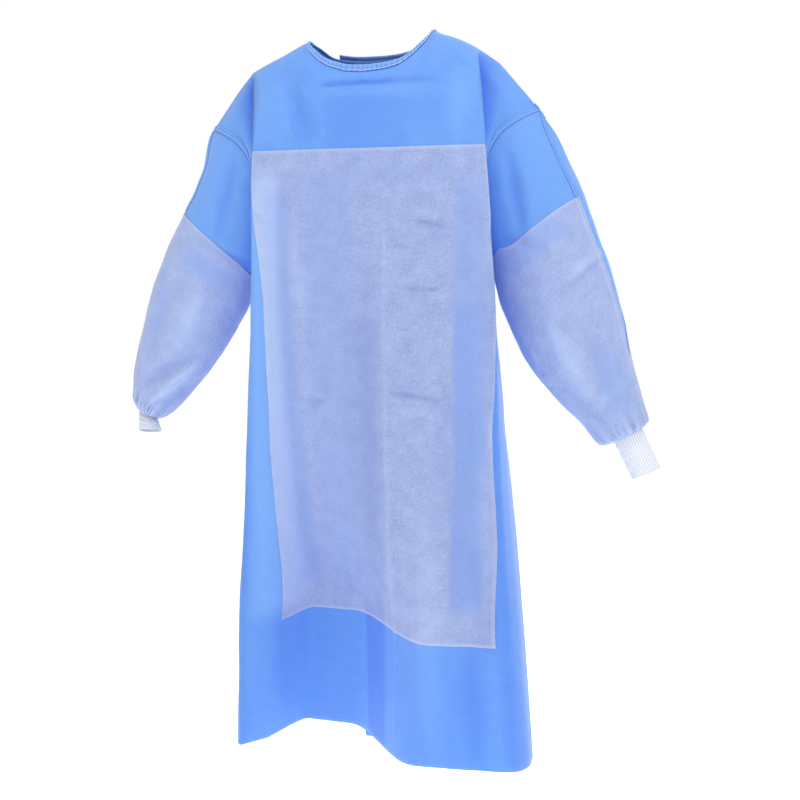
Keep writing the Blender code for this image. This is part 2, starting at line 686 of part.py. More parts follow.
def build_gown():
    """Builds every panel of the gown."""
    clear_scene()
    front = front_points()
    backs = {side: back_points(side) for side in ("left", "right")}
    sleeves = {side: sleeve_points(side, sleeve_turns(), sleeve_rings()) for side in backs}
    mirrored = {"left": False, "right": True}

    found = {}
    add_normals(found, front, flip=True)
    for side, turned in mirrored.items():
        add_normals(found, backs[side], flip=not turned)
        add_normals(found, sleeves[side], flip=not turned, closed=True)

    up = normals_of(found, front)
    cloth = panel("front", front, up, "blue_nonwoven", ("row-high", "column-low", "column-high"))
    rise = [i for i, z in enumerate(rows()) if PATCH_BOTTOM_Z - 1e-9 <= z <= PATCH_TOP_Z + 1e-9]
    edge = sum(SIDE_COUNTS[:3])
    part = (slice(rise[0], rise[-1] + 1), slice(edge, front.shape[1] - edge))
    patch = dict(lift=LAYER_GAP, thick=PATCH_CLOTH)
    panel("front_patch", front[part], up[part], "reinforcement", (), **patch)
    neck = sum(SIDE_COUNTS)
    binding("neck_binding_front", cloth, front, up, neck, front.shape[1] - neck - 1, flip=False)

    for side, turned in mirrored.items():
        grid = backs[side]
        up = normals_of(found, grid)
        seams = ("row-high", "column-low")
        cloth = panel("back_" + side, grid, up, "blue_nonwoven", seams, flip=turned)
        last = grid.shape[1] - 1
        binding("neck_binding_back_" + side, cloth, grid, up, neck, last, flip=turned)

        grid = sleeves[side]
        up = normals_of(found, grid)
        panel("sleeve_" + side, grid, up, "blue_nonwoven", ("row-low",), closed=True, flip=turned)
        rings = sleeve_rings()
        first = int(np.searchsorted(rings, PATCH_ALONG - 1e-9))
        last = int(np.searchsorted(rings, SLEEVE_END_ALONG - 1e-9))
        part = (slice(first, last + 1), slice(2, grid.shape[1] - 1))
        name = "sleeve_patch_" + side
        panel(name, grid[part], up[part], "reinforcement", (), flip=turned, **patch)

        ring = cuff_points(side)
        found_here = {}
        add_normals(found_here, ring, flip=not turned, closed=True)
        up = normals_of(found_here, ring)
        panel("cuff_" + side, ring, up, "white_knit", (), closed=True, flip=turned, thick=KNIT)

    tab = (tab_points(TAB_LIFT + CLOTH), tab_points(TAB_LIFT))
    wall("neck_tab", *tab, "white_tape", flip=True)


build_gown()
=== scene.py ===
"""A reinforced surgical gown as it looks: thin nonwoven cloth with its creases, sewing and patches.

Metres, +Z up, X to the wearer's left, -Y to the front. Each panel is a fine grid of points lofted
through the same rows as the solid that it stands for, moved in and out along its normals by soft
creases, and made a thin shell. What lies on a panel is made from that panel's own points.
"""

import bpy
import numpy as np
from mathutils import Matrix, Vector, noise


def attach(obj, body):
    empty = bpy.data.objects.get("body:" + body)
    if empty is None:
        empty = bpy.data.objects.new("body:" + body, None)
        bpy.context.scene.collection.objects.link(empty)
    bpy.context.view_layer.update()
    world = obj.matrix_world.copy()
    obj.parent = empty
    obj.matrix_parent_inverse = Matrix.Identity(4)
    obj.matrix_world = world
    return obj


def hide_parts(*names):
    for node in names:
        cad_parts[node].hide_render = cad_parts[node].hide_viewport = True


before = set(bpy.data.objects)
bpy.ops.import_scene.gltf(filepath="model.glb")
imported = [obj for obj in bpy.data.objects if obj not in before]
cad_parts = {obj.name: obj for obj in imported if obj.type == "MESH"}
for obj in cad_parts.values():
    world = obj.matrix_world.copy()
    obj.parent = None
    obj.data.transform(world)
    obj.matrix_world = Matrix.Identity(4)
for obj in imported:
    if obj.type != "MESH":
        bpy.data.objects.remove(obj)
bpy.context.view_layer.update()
bpy.ops.object.select_all(action="DESELECT")

CLOTH = 0.0005
PATCH_CLOTH = 0.0004
PATCH_LIFT = 0.0004
KNIT = 0.0014
OVERLAP_STEP = 0.0036

HEM_Z = -1.218
PATCH_BOTTOM_Z = -1.000
UNDERARM_Z = -0.325
PATCH_TOP_Z = -0.190
NECK_FRONT_Z = -0.060
CHEST_Z = -0.300
CHEST_LEAN = 0.014

CREASE_X = 0.015
CENTRE_DEPTH = {"front": -0.112, "back": 0.105}
CROWN = {"front": 0.008, "back": 0.012}

CUFF_RIBS = 36
CUFF_INSIDE = 0.010
BINDING = 0.0006
BINDING_WIDTH = 0.0100
THREAD = 0.0010
STITCH = 0.0036
SEAM_RISE = 0.001 * np.array([0.7, 1.5, 1.0, 1.6, 1.8, 1.6, 1.0, 1.5, 0.7])
SEAM_STRIP = 0.0085

def table(columns, *rows):
    """A table as a dict of its named columns."""
    return dict(zip(columns.split(), np.array(rows, float).T))


# The ridge of the shoulders, seen from the front, and on through the neck opening.
RIDGE = table(
    "x       z",
    (-0.290, -0.146),
    (-0.273, -0.130),
    (-0.255, -0.110),
    (-0.243, -0.082),
    (-0.224, -0.058),
    (-0.200, -0.044),
    (-0.160, -0.026),
    (-0.115, -0.0045),
    (-0.050, 0.012),
    (0.050, 0.018),
    (0.1050, 0.0030),
    (0.118, 0.0000),
    (0.145, -0.009),
    (0.180, -0.027),
    (0.204, -0.044),
    (0.231, -0.070),
    (0.278, -0.126),
)
# The neckline, from the wearer's right shoulder to the left, on the front and on the back.
NECK_FRONT = table(
    "x       y       z",
    (-0.1150, 0.0000, -0.0045),
    (-0.1060, -0.0290, -0.0110),
    (-0.0898, -0.0499, -0.0232),
    (-0.0707, -0.0601, -0.0377),
    (-0.0454, -0.0671, -0.0473),
    (-0.0234, -0.0696, -0.0522),
    (0.0004, -0.0699, -0.0530),
    (0.0331, -0.0667, -0.0497),
    (0.0531, -0.0613, -0.0449),
    (0.0777, -0.0482, -0.0316),
    (0.0940, -0.0330, -0.0160),
    (0.1010, -0.0190, -0.0060),
    (0.1050, 0.0000, 0.0030),
)
NECK_BACK = table(
    "x       y       z",
    (-0.1150, 0.0000, -0.0045),
    (-0.1060, 0.0250, -0.0110),
    (-0.0850, 0.0450, -0.0200),
    (-0.0400, 0.0580, -0.0245),
    (0.0000, 0.0600, -0.0235),
    (0.0400, 0.0530, -0.0200),
    (0.0700, 0.0420, -0.0140),
    (0.0955, 0.0240, -0.0050),
    (0.1050, 0.0000, 0.0030),
)
# The front panel's fold corner and the groove behind it, for each row, on the wearer's left.
LEFT_FOLD = table(
    "row    corner_x  groove_x  groove_y  groove_z",
    (-0.060, 0.176, 0.211, 0.000, -0.0490),
    (-0.090, 0.181, 0.202, -0.026, -0.067),
    (-0.120, 0.190, 0.203, -0.040, -0.102),
    (-0.155, 0.200, 0.207, -0.056, -0.152),
    (-0.190, 0.208, 0.205, -0.076, -0.200),
    (-0.325, 0.222, 0.207, -0.060, -0.325),
    (-0.450, 0.230, 0.214, -0.060, -0.450),
    (-0.600, 0.229, 0.226, -0.050, -0.600),
    (-0.800, 0.238, 0.244, -0.045, -0.800),
    (-1.000, 0.250, 0.263, -0.043, -1.000),
    (-1.218, 0.258, 0.277, -0.030, -1.218),
)
# The same on the wearer's right.
RIGHT_FOLD = table(
    "row    corner_x  groove_x  groove_y  groove_z",
    (-0.060, 0.220, 0.244, 0.000, -0.0860),
    (-0.090, 0.209, 0.226, -0.026, -0.093),
    (-0.120, 0.199, 0.212, -0.040, -0.114),
    (-0.155, 0.190, 0.202, -0.056, -0.157),
    (-0.190, 0.185, 0.195, -0.076, -0.203),
    (-0.325, 0.186, 0.188, -0.060, -0.325),
    (-0.450, 0.189, 0.192, -0.055, -0.450),
    (-0.600, 0.199, 0.209, -0.048, -0.600),
    (-0.800, 0.210, 0.222, -0.040, -0.800),
    (-1.000, 0.223, 0.238, -0.030, -1.000),
    (-1.218, 0.236, 0.256, -0.010, -1.218),
)
# The side seams below the underarm, and where the front and the back hang.
SIDE = table(
    "row    left_x  right_x  side_y  front_y  back_y",
    (-0.325, 0.182, 0.182, 0.004, -0.112, 0.105),
    (-0.450, 0.190, 0.195, 0.004, -0.112, 0.112),
    (-0.600, 0.214, 0.212, 0.010, -0.108, 0.120),
    (-0.800, 0.237, 0.2255, 0.018, -0.104, 0.136),
    (-1.000, 0.256, 0.241, 0.022, -0.098, 0.158),
    (-1.218, 0.273, 0.262, 0.022, -0.075, 0.182),
)
# The deep fold that opens down the front, left of the middle as one looks at it.
VALLEY = table(
    "row    left_foot  left_floor  right_floor  right_foot  depth",
    (-0.450, -0.200, -0.110, -0.080, 0.090, 0.000),
    (-0.600, -0.200, -0.115, -0.080, 0.090, 0.022),
    (-0.800, -0.202, -0.120, -0.078, 0.092, 0.075),
    (-1.000, -0.205, -0.122, -0.052, 0.116, 0.132),
    (-1.218, -0.232, -0.146, -0.070, 0.090, 0.136),
)
# Real distances of the chest patch's side edges from the pressed crease.
PATCH = table(
    "row    left_edge  right_edge",
    (-0.190, 0.190, 0.196),
    (-0.325, 0.208, 0.190),
    (-0.450, 0.216, 0.179),
    (-0.600, 0.229, 0.180),
    (-0.700, 0.225, 0.190),
    (-0.800, 0.225, 0.205),
    (-1.000, 0.248, 0.236),
)
# The armhole seams, once round: from the shoulder point down the front to the underarm.
LEFT_ARMHOLE = table(
    "turn  x      y       z",
    (0.00, 0.278, 0.000, -0.126),
    (0.08, 0.252, -0.030, -0.141),
    (0.16, 0.219, -0.047, -0.168),
    (0.25, 0.197, -0.054, -0.212),
    (0.37, 0.185, -0.042, -0.275),
    (0.50, 0.182, 0.004, -0.325),
    (0.63, 0.188, 0.052, -0.280),
    (0.75, 0.207, 0.068, -0.220),
    (0.87, 0.243, 0.046, -0.160),
    (1.00, 0.278, 0.000, -0.126),
)
RIGHT_ARMHOLE = table(
    "turn  x      y       z",
    (0.00, 0.290, 0.000, -0.146),
    (0.08, 0.261, -0.030, -0.156),
    (0.16, 0.226, -0.047, -0.177),
    (0.25, 0.199, -0.054, -0.216),
    (0.37, 0.185, -0.042, -0.275),
    (0.50, 0.182, 0.004, -0.325),
    (0.63, 0.188, 0.052, -0.280),
    (0.75, 0.207, 0.068, -0.224),
    (0.87, 0.248, 0.046, -0.173),
    (1.00, 0.290, 0.000, -0.146),
)
# The sleeves from the armhole to the cuff: outer and inner edge seen from the front, half depth.
LEFT_SLEEVE = table(
    "along outer_x outer_z inner_x inner_z half_depth middle_y",
    (0.00, 0.278, -0.126, 0.182, -0.325, 0.056, 0.000),
    (0.12, 0.309, -0.174, 0.192, -0.352, 0.062, 0.002),
    (0.28, 0.351, -0.266, 0.202, -0.390, 0.062, 0.004),
    (0.45, 0.384, -0.351, 0.213, -0.437, 0.058, 0.004),
    (0.60, 0.409, -0.431, 0.243, -0.505, 0.054, 0.004),
    (0.70, 0.423, -0.488, 0.274, -0.554, 0.050, 0.003),
    (0.79, 0.435, -0.537, 0.306, -0.592, 0.045, 0.002),
    (0.88, 0.447, -0.587, 0.349, -0.631, 0.038, 0.001),
    (0.955, 0.456, -0.627, 0.388, -0.667, 0.029, 0.000),
    (1.00, 0.4515, -0.6375, 0.4045, -0.6640, 0.0165, 0.000),
)
RIGHT_SLEEVE = table(
    "along outer_x outer_z inner_x inner_z half_depth middle_y",
    (0.00, 0.290, -0.146, 0.182, -0.325, 0.056, 0.000),
    (0.05, 0.301, -0.167, 0.185, -0.334, 0.059, 0.001),
    (0.12, 0.307, -0.199, 0.192, -0.352, 0.062, 0.002),
    (0.20, 0.317, -0.232, 0.202, -0.373, 0.063, 0.003),
    (0.28, 0.344, -0.285, 0.212, -0.396, 0.062, 0.004),
    (0.45, 0.380, -0.357, 0.232, -0.446, 0.058, 0.004),
    (0.60, 0.411, -0.436, 0.257, -0.492, 0.054, 0.003),
    (0.70, 0.425, -0.490, 0.286, -0.534, 0.050, 0.001),
    (0.79, 0.435, -0.533, 0.316, -0.574, 0.045, -0.002),
    (0.88, 0.442, -0.574, 0.348, -0.612, 0.038, -0.005),
    (0.955, 0.443, -0.609, 0.384, -0.641, 0.029, -0.008),
    (1.00, 0.4375, -0.629, 0.4005, -0.6485, 0.0145, -0.011),
)
# Each cuff: where its lower end lies, its half sizes there, and its room in the sleeve's end.
CUFF_END = {
    "left": dict(x=0.4585, y=0.004, z=-0.7135, half_width=0.0255, half_depth=0.0165, room=0.0010),
    "right": dict(x=0.4095, y=-0.022, z=-0.6700, half_width=0.0207, half_depth=0.0155, room=0.0030),
}

# How far each back panel reaches past the middle, at its free edge.
BACK_EDGE = table(
    "row    left_x  right_x",
    (-0.060, -0.078, 0.066),
    (-0.190, -0.082, 0.074),
    (-0.600, -0.095, 0.095),
    (-1.000, -0.090, 0.120),
    (-1.218, -0.072, 0.130),
)
# How far the left back's free corner hangs below the hem, over which width, and where it starts.
DROOP = {"drop": 0.047, "full": 0.045, "width": 0.200, "height": 0.260}

# Quads between the named lines of a panel: in rows from the hem up, in columns from the side.
ROW_COUNTS = ((HEM_Z, 30), (PATCH_BOTTOM_Z, 100), (UNDERARM_Z, 20), (PATCH_TOP_Z, 36))
SIDE_COUNTS = (10, 10, 2, 14)
NECK_COUNT = 34
BACK_COUNT = 44
CUFF_SIDES = 8 * CUFF_RIBS

def read(rows, name, at):
    """A table's column at any value of its first column, on a curve with no overshoot."""
    keys = list(rows)
    x, y = rows[keys[0]], rows[name]
    if x[0] > x[-1]:
        x, y = x[::-1], y[::-1]
    step = np.diff(x)
    slope = np.diff(y) / step
    inner = np.where(slope[:-1] * slope[1:] > 0, 1, 0)
    mean = 2 * slope[:-1] * slope[1:] / np.where(inner, slope[:-1] + slope[1:], 1)
    tangent = np.concatenate([[slope[0]], inner * mean, [slope[-1]]])
    i = np.clip(np.searchsorted(x, at) - 1, 0, len(step) - 1)
    t = np.clip((at - x[i]) / step[i], 0, 1)
    return (
        (1 + 2 * t) * (1 - t) ** 2 * y[i]
        + t * (1 - t) ** 2 * step[i] * tangent[i]
        + t * t * (3 - 2 * t) * y[i + 1]
        + t * t * (t - 1) * step[i] * tangent[i + 1]
    )


def smooth(low, high, at):
    """0 below low, 1 above high, and a soft step between."""
    t = np.clip((at - low) / (high - low), 0, 1)
    return t * t * (3 - 2 * t)


def armhole(side, turn):
    """A point of the armhole seam; turn runs 0 to 1 once round."""
    seam = LEFT_ARMHOLE if side == "left" else RIGHT_ARMHOLE
    point = np.array([read(seam, axis, turn) for axis in "xyz"])
    return point * (1 if side == "left" else -1, 1, 1)


def valley(row, x):
    """How far the deep fold sinks back from the front at this row."""
    rise = smooth(read(VALLEY, "left_foot", row), read(VALLEY, "left_floor", row), x)
    fall = smooth(read(VALLEY, "right_floor", row), read(VALLEY, "right_foot", row), x)
    return read(VALLEY, "depth", row) * rise * (1 - fall) * (row < -0.45)


def middle(face, row, x):
    """Points of the panel's middle part at these x, where it hangs free between its folds."""
    neckline = NECK_FRONT if face == "front" else NECK_BACK
    crown = CROWN[face] * (((x - CREASE_X) / 0.2) ** 2)
    drop = read(RIDGE, "z", x) - CHEST_Z
    level = min(row, PATCH_TOP_Z)
    hang = read(SIDE, face + "_y", max(min(level, UNDERARM_Z), HEM_Z))
    hang = hang - np.sign(CENTRE_DEPTH[face]) * crown
    angle = np.arccos(np.clip((level - CHEST_Z) / drop, 0, 1))
    rise = max(0, (row - PATCH_TOP_Z) / (NECK_FRONT_Z - PATCH_TOP_Z))
    neck_angle = np.arcsin(np.clip(np.abs(read(neckline, "y", x) / hang), 0, 0.9))
    angle = angle + (neck_angle - angle) * rise
    z = CHEST_Z + drop * np.cos(angle) if level > CHEST_Z else np.full(x.shape, row)
    inside = (x > neckline["x"][0]) & (x < neckline["x"][-1])
    dip = read(neckline, "z", x) - (CHEST_Z + drop * np.cos(neck_angle))
    z = z + rise**2 * dip * inside
    y = hang * np.sin(angle)
    z = z + CHEST_LEAN * smooth(UNDERARM_Z, PATCH_TOP_Z, level) * (1 - rise) * (x + 0.19)
    if face == "front":
        sunk = valley(row, x)
        shift = hang - CENTRE_DEPTH["front"]
        y = y + sunk
        z = z + sunk * (sunk + 2 * shift) / (2 * max(CHEST_Z - row, 0.1))
    return np.stack([x, y, z], axis=-1)


def seam_edge(side, face, row):
    """The panel's side edge: the side seam up to the underarm, then the armhole."""
    if row <= UNDERARM_Z:
        sign = 1 if side == "left" else -1
        x = sign * read(SIDE, side + "_x", row)
        return np.array([x, read(SIDE, "side_y", row), row])
    heights = (UNDERARM_Z, PATCH_TOP_Z, NECK_FRONT_Z)
    turn = np.interp(row, heights, (0.5, 0.25, 0.0))
    return armhole(side, turn if face == "front" else 1 - turn)


def bend(start, corner, end):
    """A soft curve from start to end that turns at the corner."""
    t = np.linspace(0, 1, 33)[:, None]
    return (1 - t) ** 2 * start + 2 * t * (1 - t) * corner + t * t * end


def toward(start, end, reach):
    """The point this far from start toward end, at most a bit less than half way."""
    step = end - start
    size = max(np.linalg.norm(step), 1e-9)
    return start + step / size * min(reach, 0.45 * size)


def folded(edge, groove, run, cut):
    """A line from the edge over the groove and round the fold corner, and what is left of run."""
    corner = run[0]
    kept = run[np.linalg.norm(run - corner, axis=1) >= cut]
    dip = bend(toward(groove, edge, cut), groove, toward(groove, corner, cut))
    fold = bend(toward(corner, groove, cut), corner, kept[0])
    return np.concatenate([[edge], dip, fold, kept[1:]]), kept


def half_row(side, face, row, end_x):
    """A dense line along one row from the side edge to end_x, and the places of its key lines.

    The keys are the edge, the groove, the fold corner, the patch's edge, the neck point and end_x.
    """
    sign = 1 if side == "left" else -1
    fold = LEFT_FOLD if side == "left" else RIGHT_FOLD
    edge = seam_edge(side, face, row)
    corner_x = sign * read(fold, "corner_x", row)
    if face == "front":
        names = ("groove_x", "groove_y", "groove_z")
        groove = np.array([read(fold, name, row) for name in names]) * (sign, 1, 1)
    else:
        rise = smooth(PATCH_TOP_Z, NECK_FRONT_Z, row)
        corner_x = corner_x * (1 - 0.22 * (1 - rise))
        corner = middle(face, row, np.array([corner_x]))[0]
        groove = 0.5 * (edge + corner) + (1 - rise) * np.array([sign * 0.012, 0.014, 0])
        on_ridge = sign * read(fold, "groove_x", NECK_FRONT_Z)
        top = np.array([on_ridge, 0, read(RIDGE, "z", on_ridge)])
        groove = groove + smooth(-0.12, NECK_FRONT_Z, row) * (top - groove)
    xs = np.linspace(corner_x, end_x, 260)
    run = middle(face, row, xs)
    rise = max(0, (row - PATCH_TOP_Z) / (NECK_FRONT_Z - PATCH_TOP_Z))
    cut = np.interp(row, (HEM_Z, -0.6, -0.45), (0.022, 0.014, 0.006))
    if face == "back":
        cut = np.interp(row, (-0.12, NECK_FRONT_Z), (0.035, 0.006))
    line, kept = folded(edge, groove, run, cut)
    along = np.concatenate([[0], np.cumsum(np.linalg.norm(np.diff(line, axis=0), axis=1))])
    nearest = lambda p: along[np.argmin(np.linalg.norm(line - p, axis=1))]
    at_x = lambda x: np.interp(-sign * x, -sign * kept[:, 0], along[-len(kept) :])
    corner_at = nearest(run[0])
    neck_at = at_x(NECK_FRONT["x"][-1 if side == "left" else 0])
    patch_at = corner_at + 0.006
    if face == "front":
        reach = read(PATCH, side + "_edge", np.clip(row, PATCH_BOTTOM_Z, PATCH_TOP_Z))
        patch_at = patch_at + (1 - rise) * max(0, at_x(CREASE_X) - reach - patch_at)
    neck_at = max(neck_at, patch_at + 0.02)
    return line, along, np.array([0, nearest(groove), corner_at, patch_at, neck_at, along[-1]])


def threads(counts):
    """Where each thread lies among the key lines: 1.5 is half way from key 1 to key 2."""
    parts = [i + np.arange(n) / n for i, n in enumerate(counts)]
    return np.concatenate([*parts, [len(counts)]])


def lay(line, along, keys, counts):
    """The row's points, one for each thread."""
    at = np.interp(threads(counts), np.arange(len(keys)), keys)
    return np.stack([np.interp(at, along, line[:, k]) for k in range(3)], axis=-1)


def rows():
    """The names of the rows: each one's height at the middle of the front, up to the neckline."""
    tops = [z for z, _ in ROW_COUNTS[1:]] + [NECK_FRONT_Z]
    parts = [np.linspace(z, top, n + 1)[:-1] for (z, n), top in zip(ROW_COUNTS, tops)]
    return np.concatenate([*parts, [NECK_FRONT_Z]])


def front_points():
    """The front panel's points, rows from the hem up, columns from the wearer's right."""
    grid = []
    for row in rows():
        counts = (*SIDE_COUNTS, NECK_COUNT)
        right = lay(*half_row("right", "front", row, CREASE_X), counts)
        left = lay(*half_row("left", "front", row, CREASE_X), counts)
        grid.append(np.concatenate([right, left[-2::-1]]))
    return np.array(grid)


def back_points(side):
    """A back panel's points, columns from its side edge to its free edge past the middle."""
    grid = []
    for row in rows():
        end_x = read(BACK_EDGE, side + "_x", row)
        line = lay(*half_row(side, "back", row, end_x), (*SIDE_COUNTS, BACK_COUNT))
        if side == "left":
            near = smooth(end_x + DROOP["width"], end_x + DROOP["full"], line[:, 0])
            low = smooth(HEM_Z + DROOP["height"], HEM_Z, row)
            line = line - np.outer(DROOP["drop"] * near * low, (0, 0, 1))
        if side == "right":
            slack = smooth(-0.112, -0.080, line[:, 0]) * (1 - smooth(-0.020, 0.040, line[:, 0]))
            line = line - np.outer(0.009 * slack * smooth(PATCH_TOP_Z, NECK_FRONT_Z, row), (0, 0, 1))
            under = read(BACK_EDGE, "left_x", row)
            step = OVERLAP_STEP * smooth(under - 0.045, under - 0.010, line[:, 0])
            flat = middle("back", row, line[:, 0])
            line = line + (raised(row, line[:, 0], step) - flat) * (step > 0)[:, None]
        grid.append(line)
    return np.array(grid)


def sleeve_points(side, turns, alongs):
    """A sleeve's points: rings from the armhole to the cuff, columns once round."""
    rings = LEFT_SLEEVE if side == "left" else RIGHT_SLEEVE
    seam = np.array([armhole(side, turn) for turn in turns])
    angle = 2 * np.pi * turns[:, None]
    grid, first = [], None
    for along in alongs:
        centre, half = sleeve_middle(side, along)
        deep = read(rings, "half_depth", along)
        ring = centre + half * np.cos(angle) + np.array([0, -1, 0]) * deep * np.sin(angle)
        first = seam - ring if first is None else first
        ring = ring + first * (1 - smooth(0, 0.30, along))
        pucker = 0.0034 * smooth(0.84, 0.955, along) * (1 - 0.55 * smooth(0.955, 1.0, along))
        wave = 0.35 + gather_wave(angle, along)
        spread = ring - ring.mean(axis=0)
        size = np.linalg.norm(spread, axis=1, keepdims=True)
        grid.append(ring + spread / size * pucker * wave)
    return np.array(grid)


def sleeve_middle(side, along):
    """The middle of a sleeve's ring, and the half step from it to the sleeve's outer edge."""
    rings = LEFT_SLEEVE if side == "left" else RIGHT_SLEEVE
    sign = 1 if side == "left" else -1
    outer = np.array([sign * read(rings, "outer_x", along), 0, read(rings, "outer_z", along)])
    inner = np.array([sign * read(rings, "inner_x", along), 0, read(rings, "inner_z", along)])
    middle_y = np.array([0, read(rings, "middle_y", along), 0])
    return 0.5 * (outer + inner) + middle_y, 0.5 * (outer - inner)


def cuff_points(side):
    """A cuff's points: rings from under the sleeve's gathers to its open end."""
    rings = LEFT_SLEEVE if side == "left" else RIGHT_SLEEVE
    end = CUFF_END[side]
    angle = np.linspace(0, 2 * np.pi, CUFF_SIDES, endpoint=False)[:, None]
    top, half = sleeve_middle(side, 1.0)
    inward = sleeve_middle(side, 0.93)[0] - top
    bottom = np.array([end["x"] * (1 if side == "left" else -1), end["y"], end["z"]])
    axis = (bottom - top) / np.linalg.norm(bottom - top)
    upper = half / np.linalg.norm(half)
    lower = np.cross(axis, (0, 1, 0))
    lower = lower * np.sign(np.dot(lower, upper))
    if side == "right":
        lower = np.array([-1.0, 0, -0.06])
    top_wide = np.linalg.norm(half) - end["room"]
    top_deep = read(rings, "half_depth", 1.0) - end["room"]
    grid = []
    for t in np.concatenate([np.linspace(-1, 0, 8)[:-1], np.linspace(0, 1, 44)]):
        near = max(t, 0)
        across = (1 - near) * upper + near * lower
        forward = np.array([0, -1, 0]) - near * axis * np.dot(axis, (0, -1, 0))
        wide = (1 - near) * top_wide + near * end["half_width"]
        deep = (1 - near) * top_deep + near * end["half_depth"]
        centre = top + (bottom - top) * near
        centre = centre + inward / np.linalg.norm(inward) * CUFF_INSIDE * max(-t, 0)
        ring = centre + wide * across / np.linalg.norm(across) * np.cos(angle)
        grid.append(ring + deep * forward / np.linalg.norm(forward) * np.sin(angle))
    return np.array(grid)


def raised(row, x, height):
    """Points this far out from the middle of the back, along its own normals."""
    at = middle("back", row, x)
    up = middle("back", row + 0.002, x) - at
    across = middle("back", row, x + 0.002) - at
    normal = np.cross(up, across)
    height = np.broadcast_to(height, x.shape)[:, None]
    return at + height * normal / np.linalg.norm(normal, axis=1, keepdims=True)


def tab_points(lift):
    """The closing tab's points, from the right back over its free edge onto the left back."""
    grid = []
    for row in np.linspace(-0.112, -0.090, 12):
        free = read(BACK_EDGE, "right_x", row)
        x = np.linspace(free - 0.045, free + 0.028, 60)
        step = OVERLAP_STEP * (1 - smooth(free + 0.003, free + 0.014, x))
        grid.append(raised(row, x, step + lift))
    return np.array(grid)




CREASE_GAIN = 1.35

# Soft creases of the front and back panels: from one end to the other, half width, and height
# out of the cloth, below nought for a trough.
FRONT_CREASES = table(
    "x0 z0 x1 z1 width height",
    (-0.070, -0.084, 0.118, -0.079, 0.0070, -0.0040),
    (-0.072, -0.086, -0.036, -0.081, 0.0060, -0.0020),
    (-0.060, -0.101, 0.132, -0.097, 0.0120, 0.0022),
    (-0.134, -0.076, -0.084, -0.176, 0.0130, -0.0042),
    (-0.104, -0.085, -0.086, -0.108, 0.0070, 0.0020),
    (-0.010, -0.098, 0.004, -0.180, 0.0420, -0.0036),
    (0.150, -0.060, 0.162, -0.185, 0.0180, 0.0030),
    (0.010, -0.330, 0.008, -0.940, 0.0260, -0.0042),
    (0.044, -0.260, 0.045, -1.190, 0.0050, 0.0024),
    (0.092, -0.301, 0.146, -0.313, 0.0055, -0.0046),
    (0.094, -0.289, 0.140, -0.299, 0.0070, 0.0026),
    (0.052, -0.346, 0.094, -0.346, 0.0055, -0.0026),
    (0.080, -0.413, 0.110, -0.409, 0.0050, -0.0040),
    (0.108, -0.409, 0.144, -0.418, 0.0050, -0.0042),
    (0.050, -0.581, 0.110, -0.588, 0.0065, -0.0046),
    (0.104, -0.588, 0.138, -0.595, 0.0055, -0.0036),
    (0.056, -0.607, 0.121, -0.614, 0.0055, 0.0034),
    (-0.100, -0.601, -0.060, -0.599, 0.0055, -0.0032),
    (-0.118, -0.300, -0.092, -0.470, 0.0160, 0.0022),
    (-0.160, -0.420, -0.150, -0.760, 0.0200, -0.0026),
    (0.150, -0.560, 0.160, -0.930, 0.0220, -0.0026),
    (0.112, -0.760, 0.120, -1.200, 0.0260, 0.0030),
    (0.185, -0.980, 0.196, -1.218, 0.0200, -0.0030),
    (-0.195, -0.900, -0.210, -1.218, 0.0180, 0.0028),
    (-0.165, -0.980, -0.185, -1.218, 0.0140, -0.0026),
)
BACK_CREASES = table(
    "x0 z0 x1 z1 width height",
    (-0.120, -0.075, 0.030, -0.082, 0.0080, -0.0030),
    (-0.150, -0.130, -0.085, -0.215, 0.0120, -0.0035),
    (0.090, -0.120, 0.145, -0.225, 0.0130, -0.0035),
    (-0.020, -0.330, -0.012, -0.980, 0.0240, -0.0035),
    (-0.015, -0.300, -0.014, -1.210, 0.0045, 0.0016),
    (0.060, -0.392, 0.128, -0.402, 0.0055, -0.0024),
    (-0.130, -0.512, -0.070, -0.520, 0.0055, -0.0022),
    (-0.138, -0.640, -0.052, -0.628, 0.0065, 0.0024),
    (0.070, -0.720, 0.150, -0.700, 0.0065, -0.0024),
    (-0.150, -0.560, -0.170, -1.180, 0.0260, 0.0035),
    (0.120, -0.480, 0.160, -1.180, 0.0280, -0.0040),
    (0.175, -0.620, 0.215, -1.200, 0.0220, 0.0035),
    (-0.095, -0.820, -0.110, -1.218, 0.0200, -0.0040),
    (0.050, -0.900, 0.055, -1.218, 0.0240, 0.0030),
)
# The same on the sleeves; the face is -1 on the front and 1 on the back.
LEFT_SLEEVE_CREASES = table(
    "face x0 z0 x1 z1 width height",
    (-1, 0.392, -0.345, 0.318, -0.408, 0.0075, 0.0035),
    (-1, 0.384, -0.362, 0.330, -0.420, 0.0070, -0.0030),
    (-1, 0.268, -0.513, 0.286, -0.532, 0.0045, 0.0022),
    (-1, 0.290, -0.556, 0.310, -0.570, 0.0045, 0.0022),
    (-1, 0.236, -0.200, 0.262, -0.330, 0.0130, -0.0040),
    (-1, 0.222, -0.330, 0.300, -0.352, 0.0100, -0.0030),
    (-1, 0.300, -0.470, 0.372, -0.588, 0.0180, 0.0040),
    (-1, 0.352, -0.470, 0.412, -0.590, 0.0150, -0.0035),
    (-1, 0.330, -0.575, 0.392, -0.632, 0.0090, -0.0030),
    (-1, 0.380, -0.600, 0.425, -0.560, 0.0080, 0.0026),
    (1, 0.300, -0.250, 0.352, -0.345, 0.0150, -0.0040),
    (1, 0.262, -0.400, 0.352, -0.372, 0.0090, 0.0035),
    (1, 0.290, -0.460, 0.330, -0.560, 0.0150, -0.0035),
    (1, 0.360, -0.450, 0.410, -0.570, 0.0160, 0.0035),
)
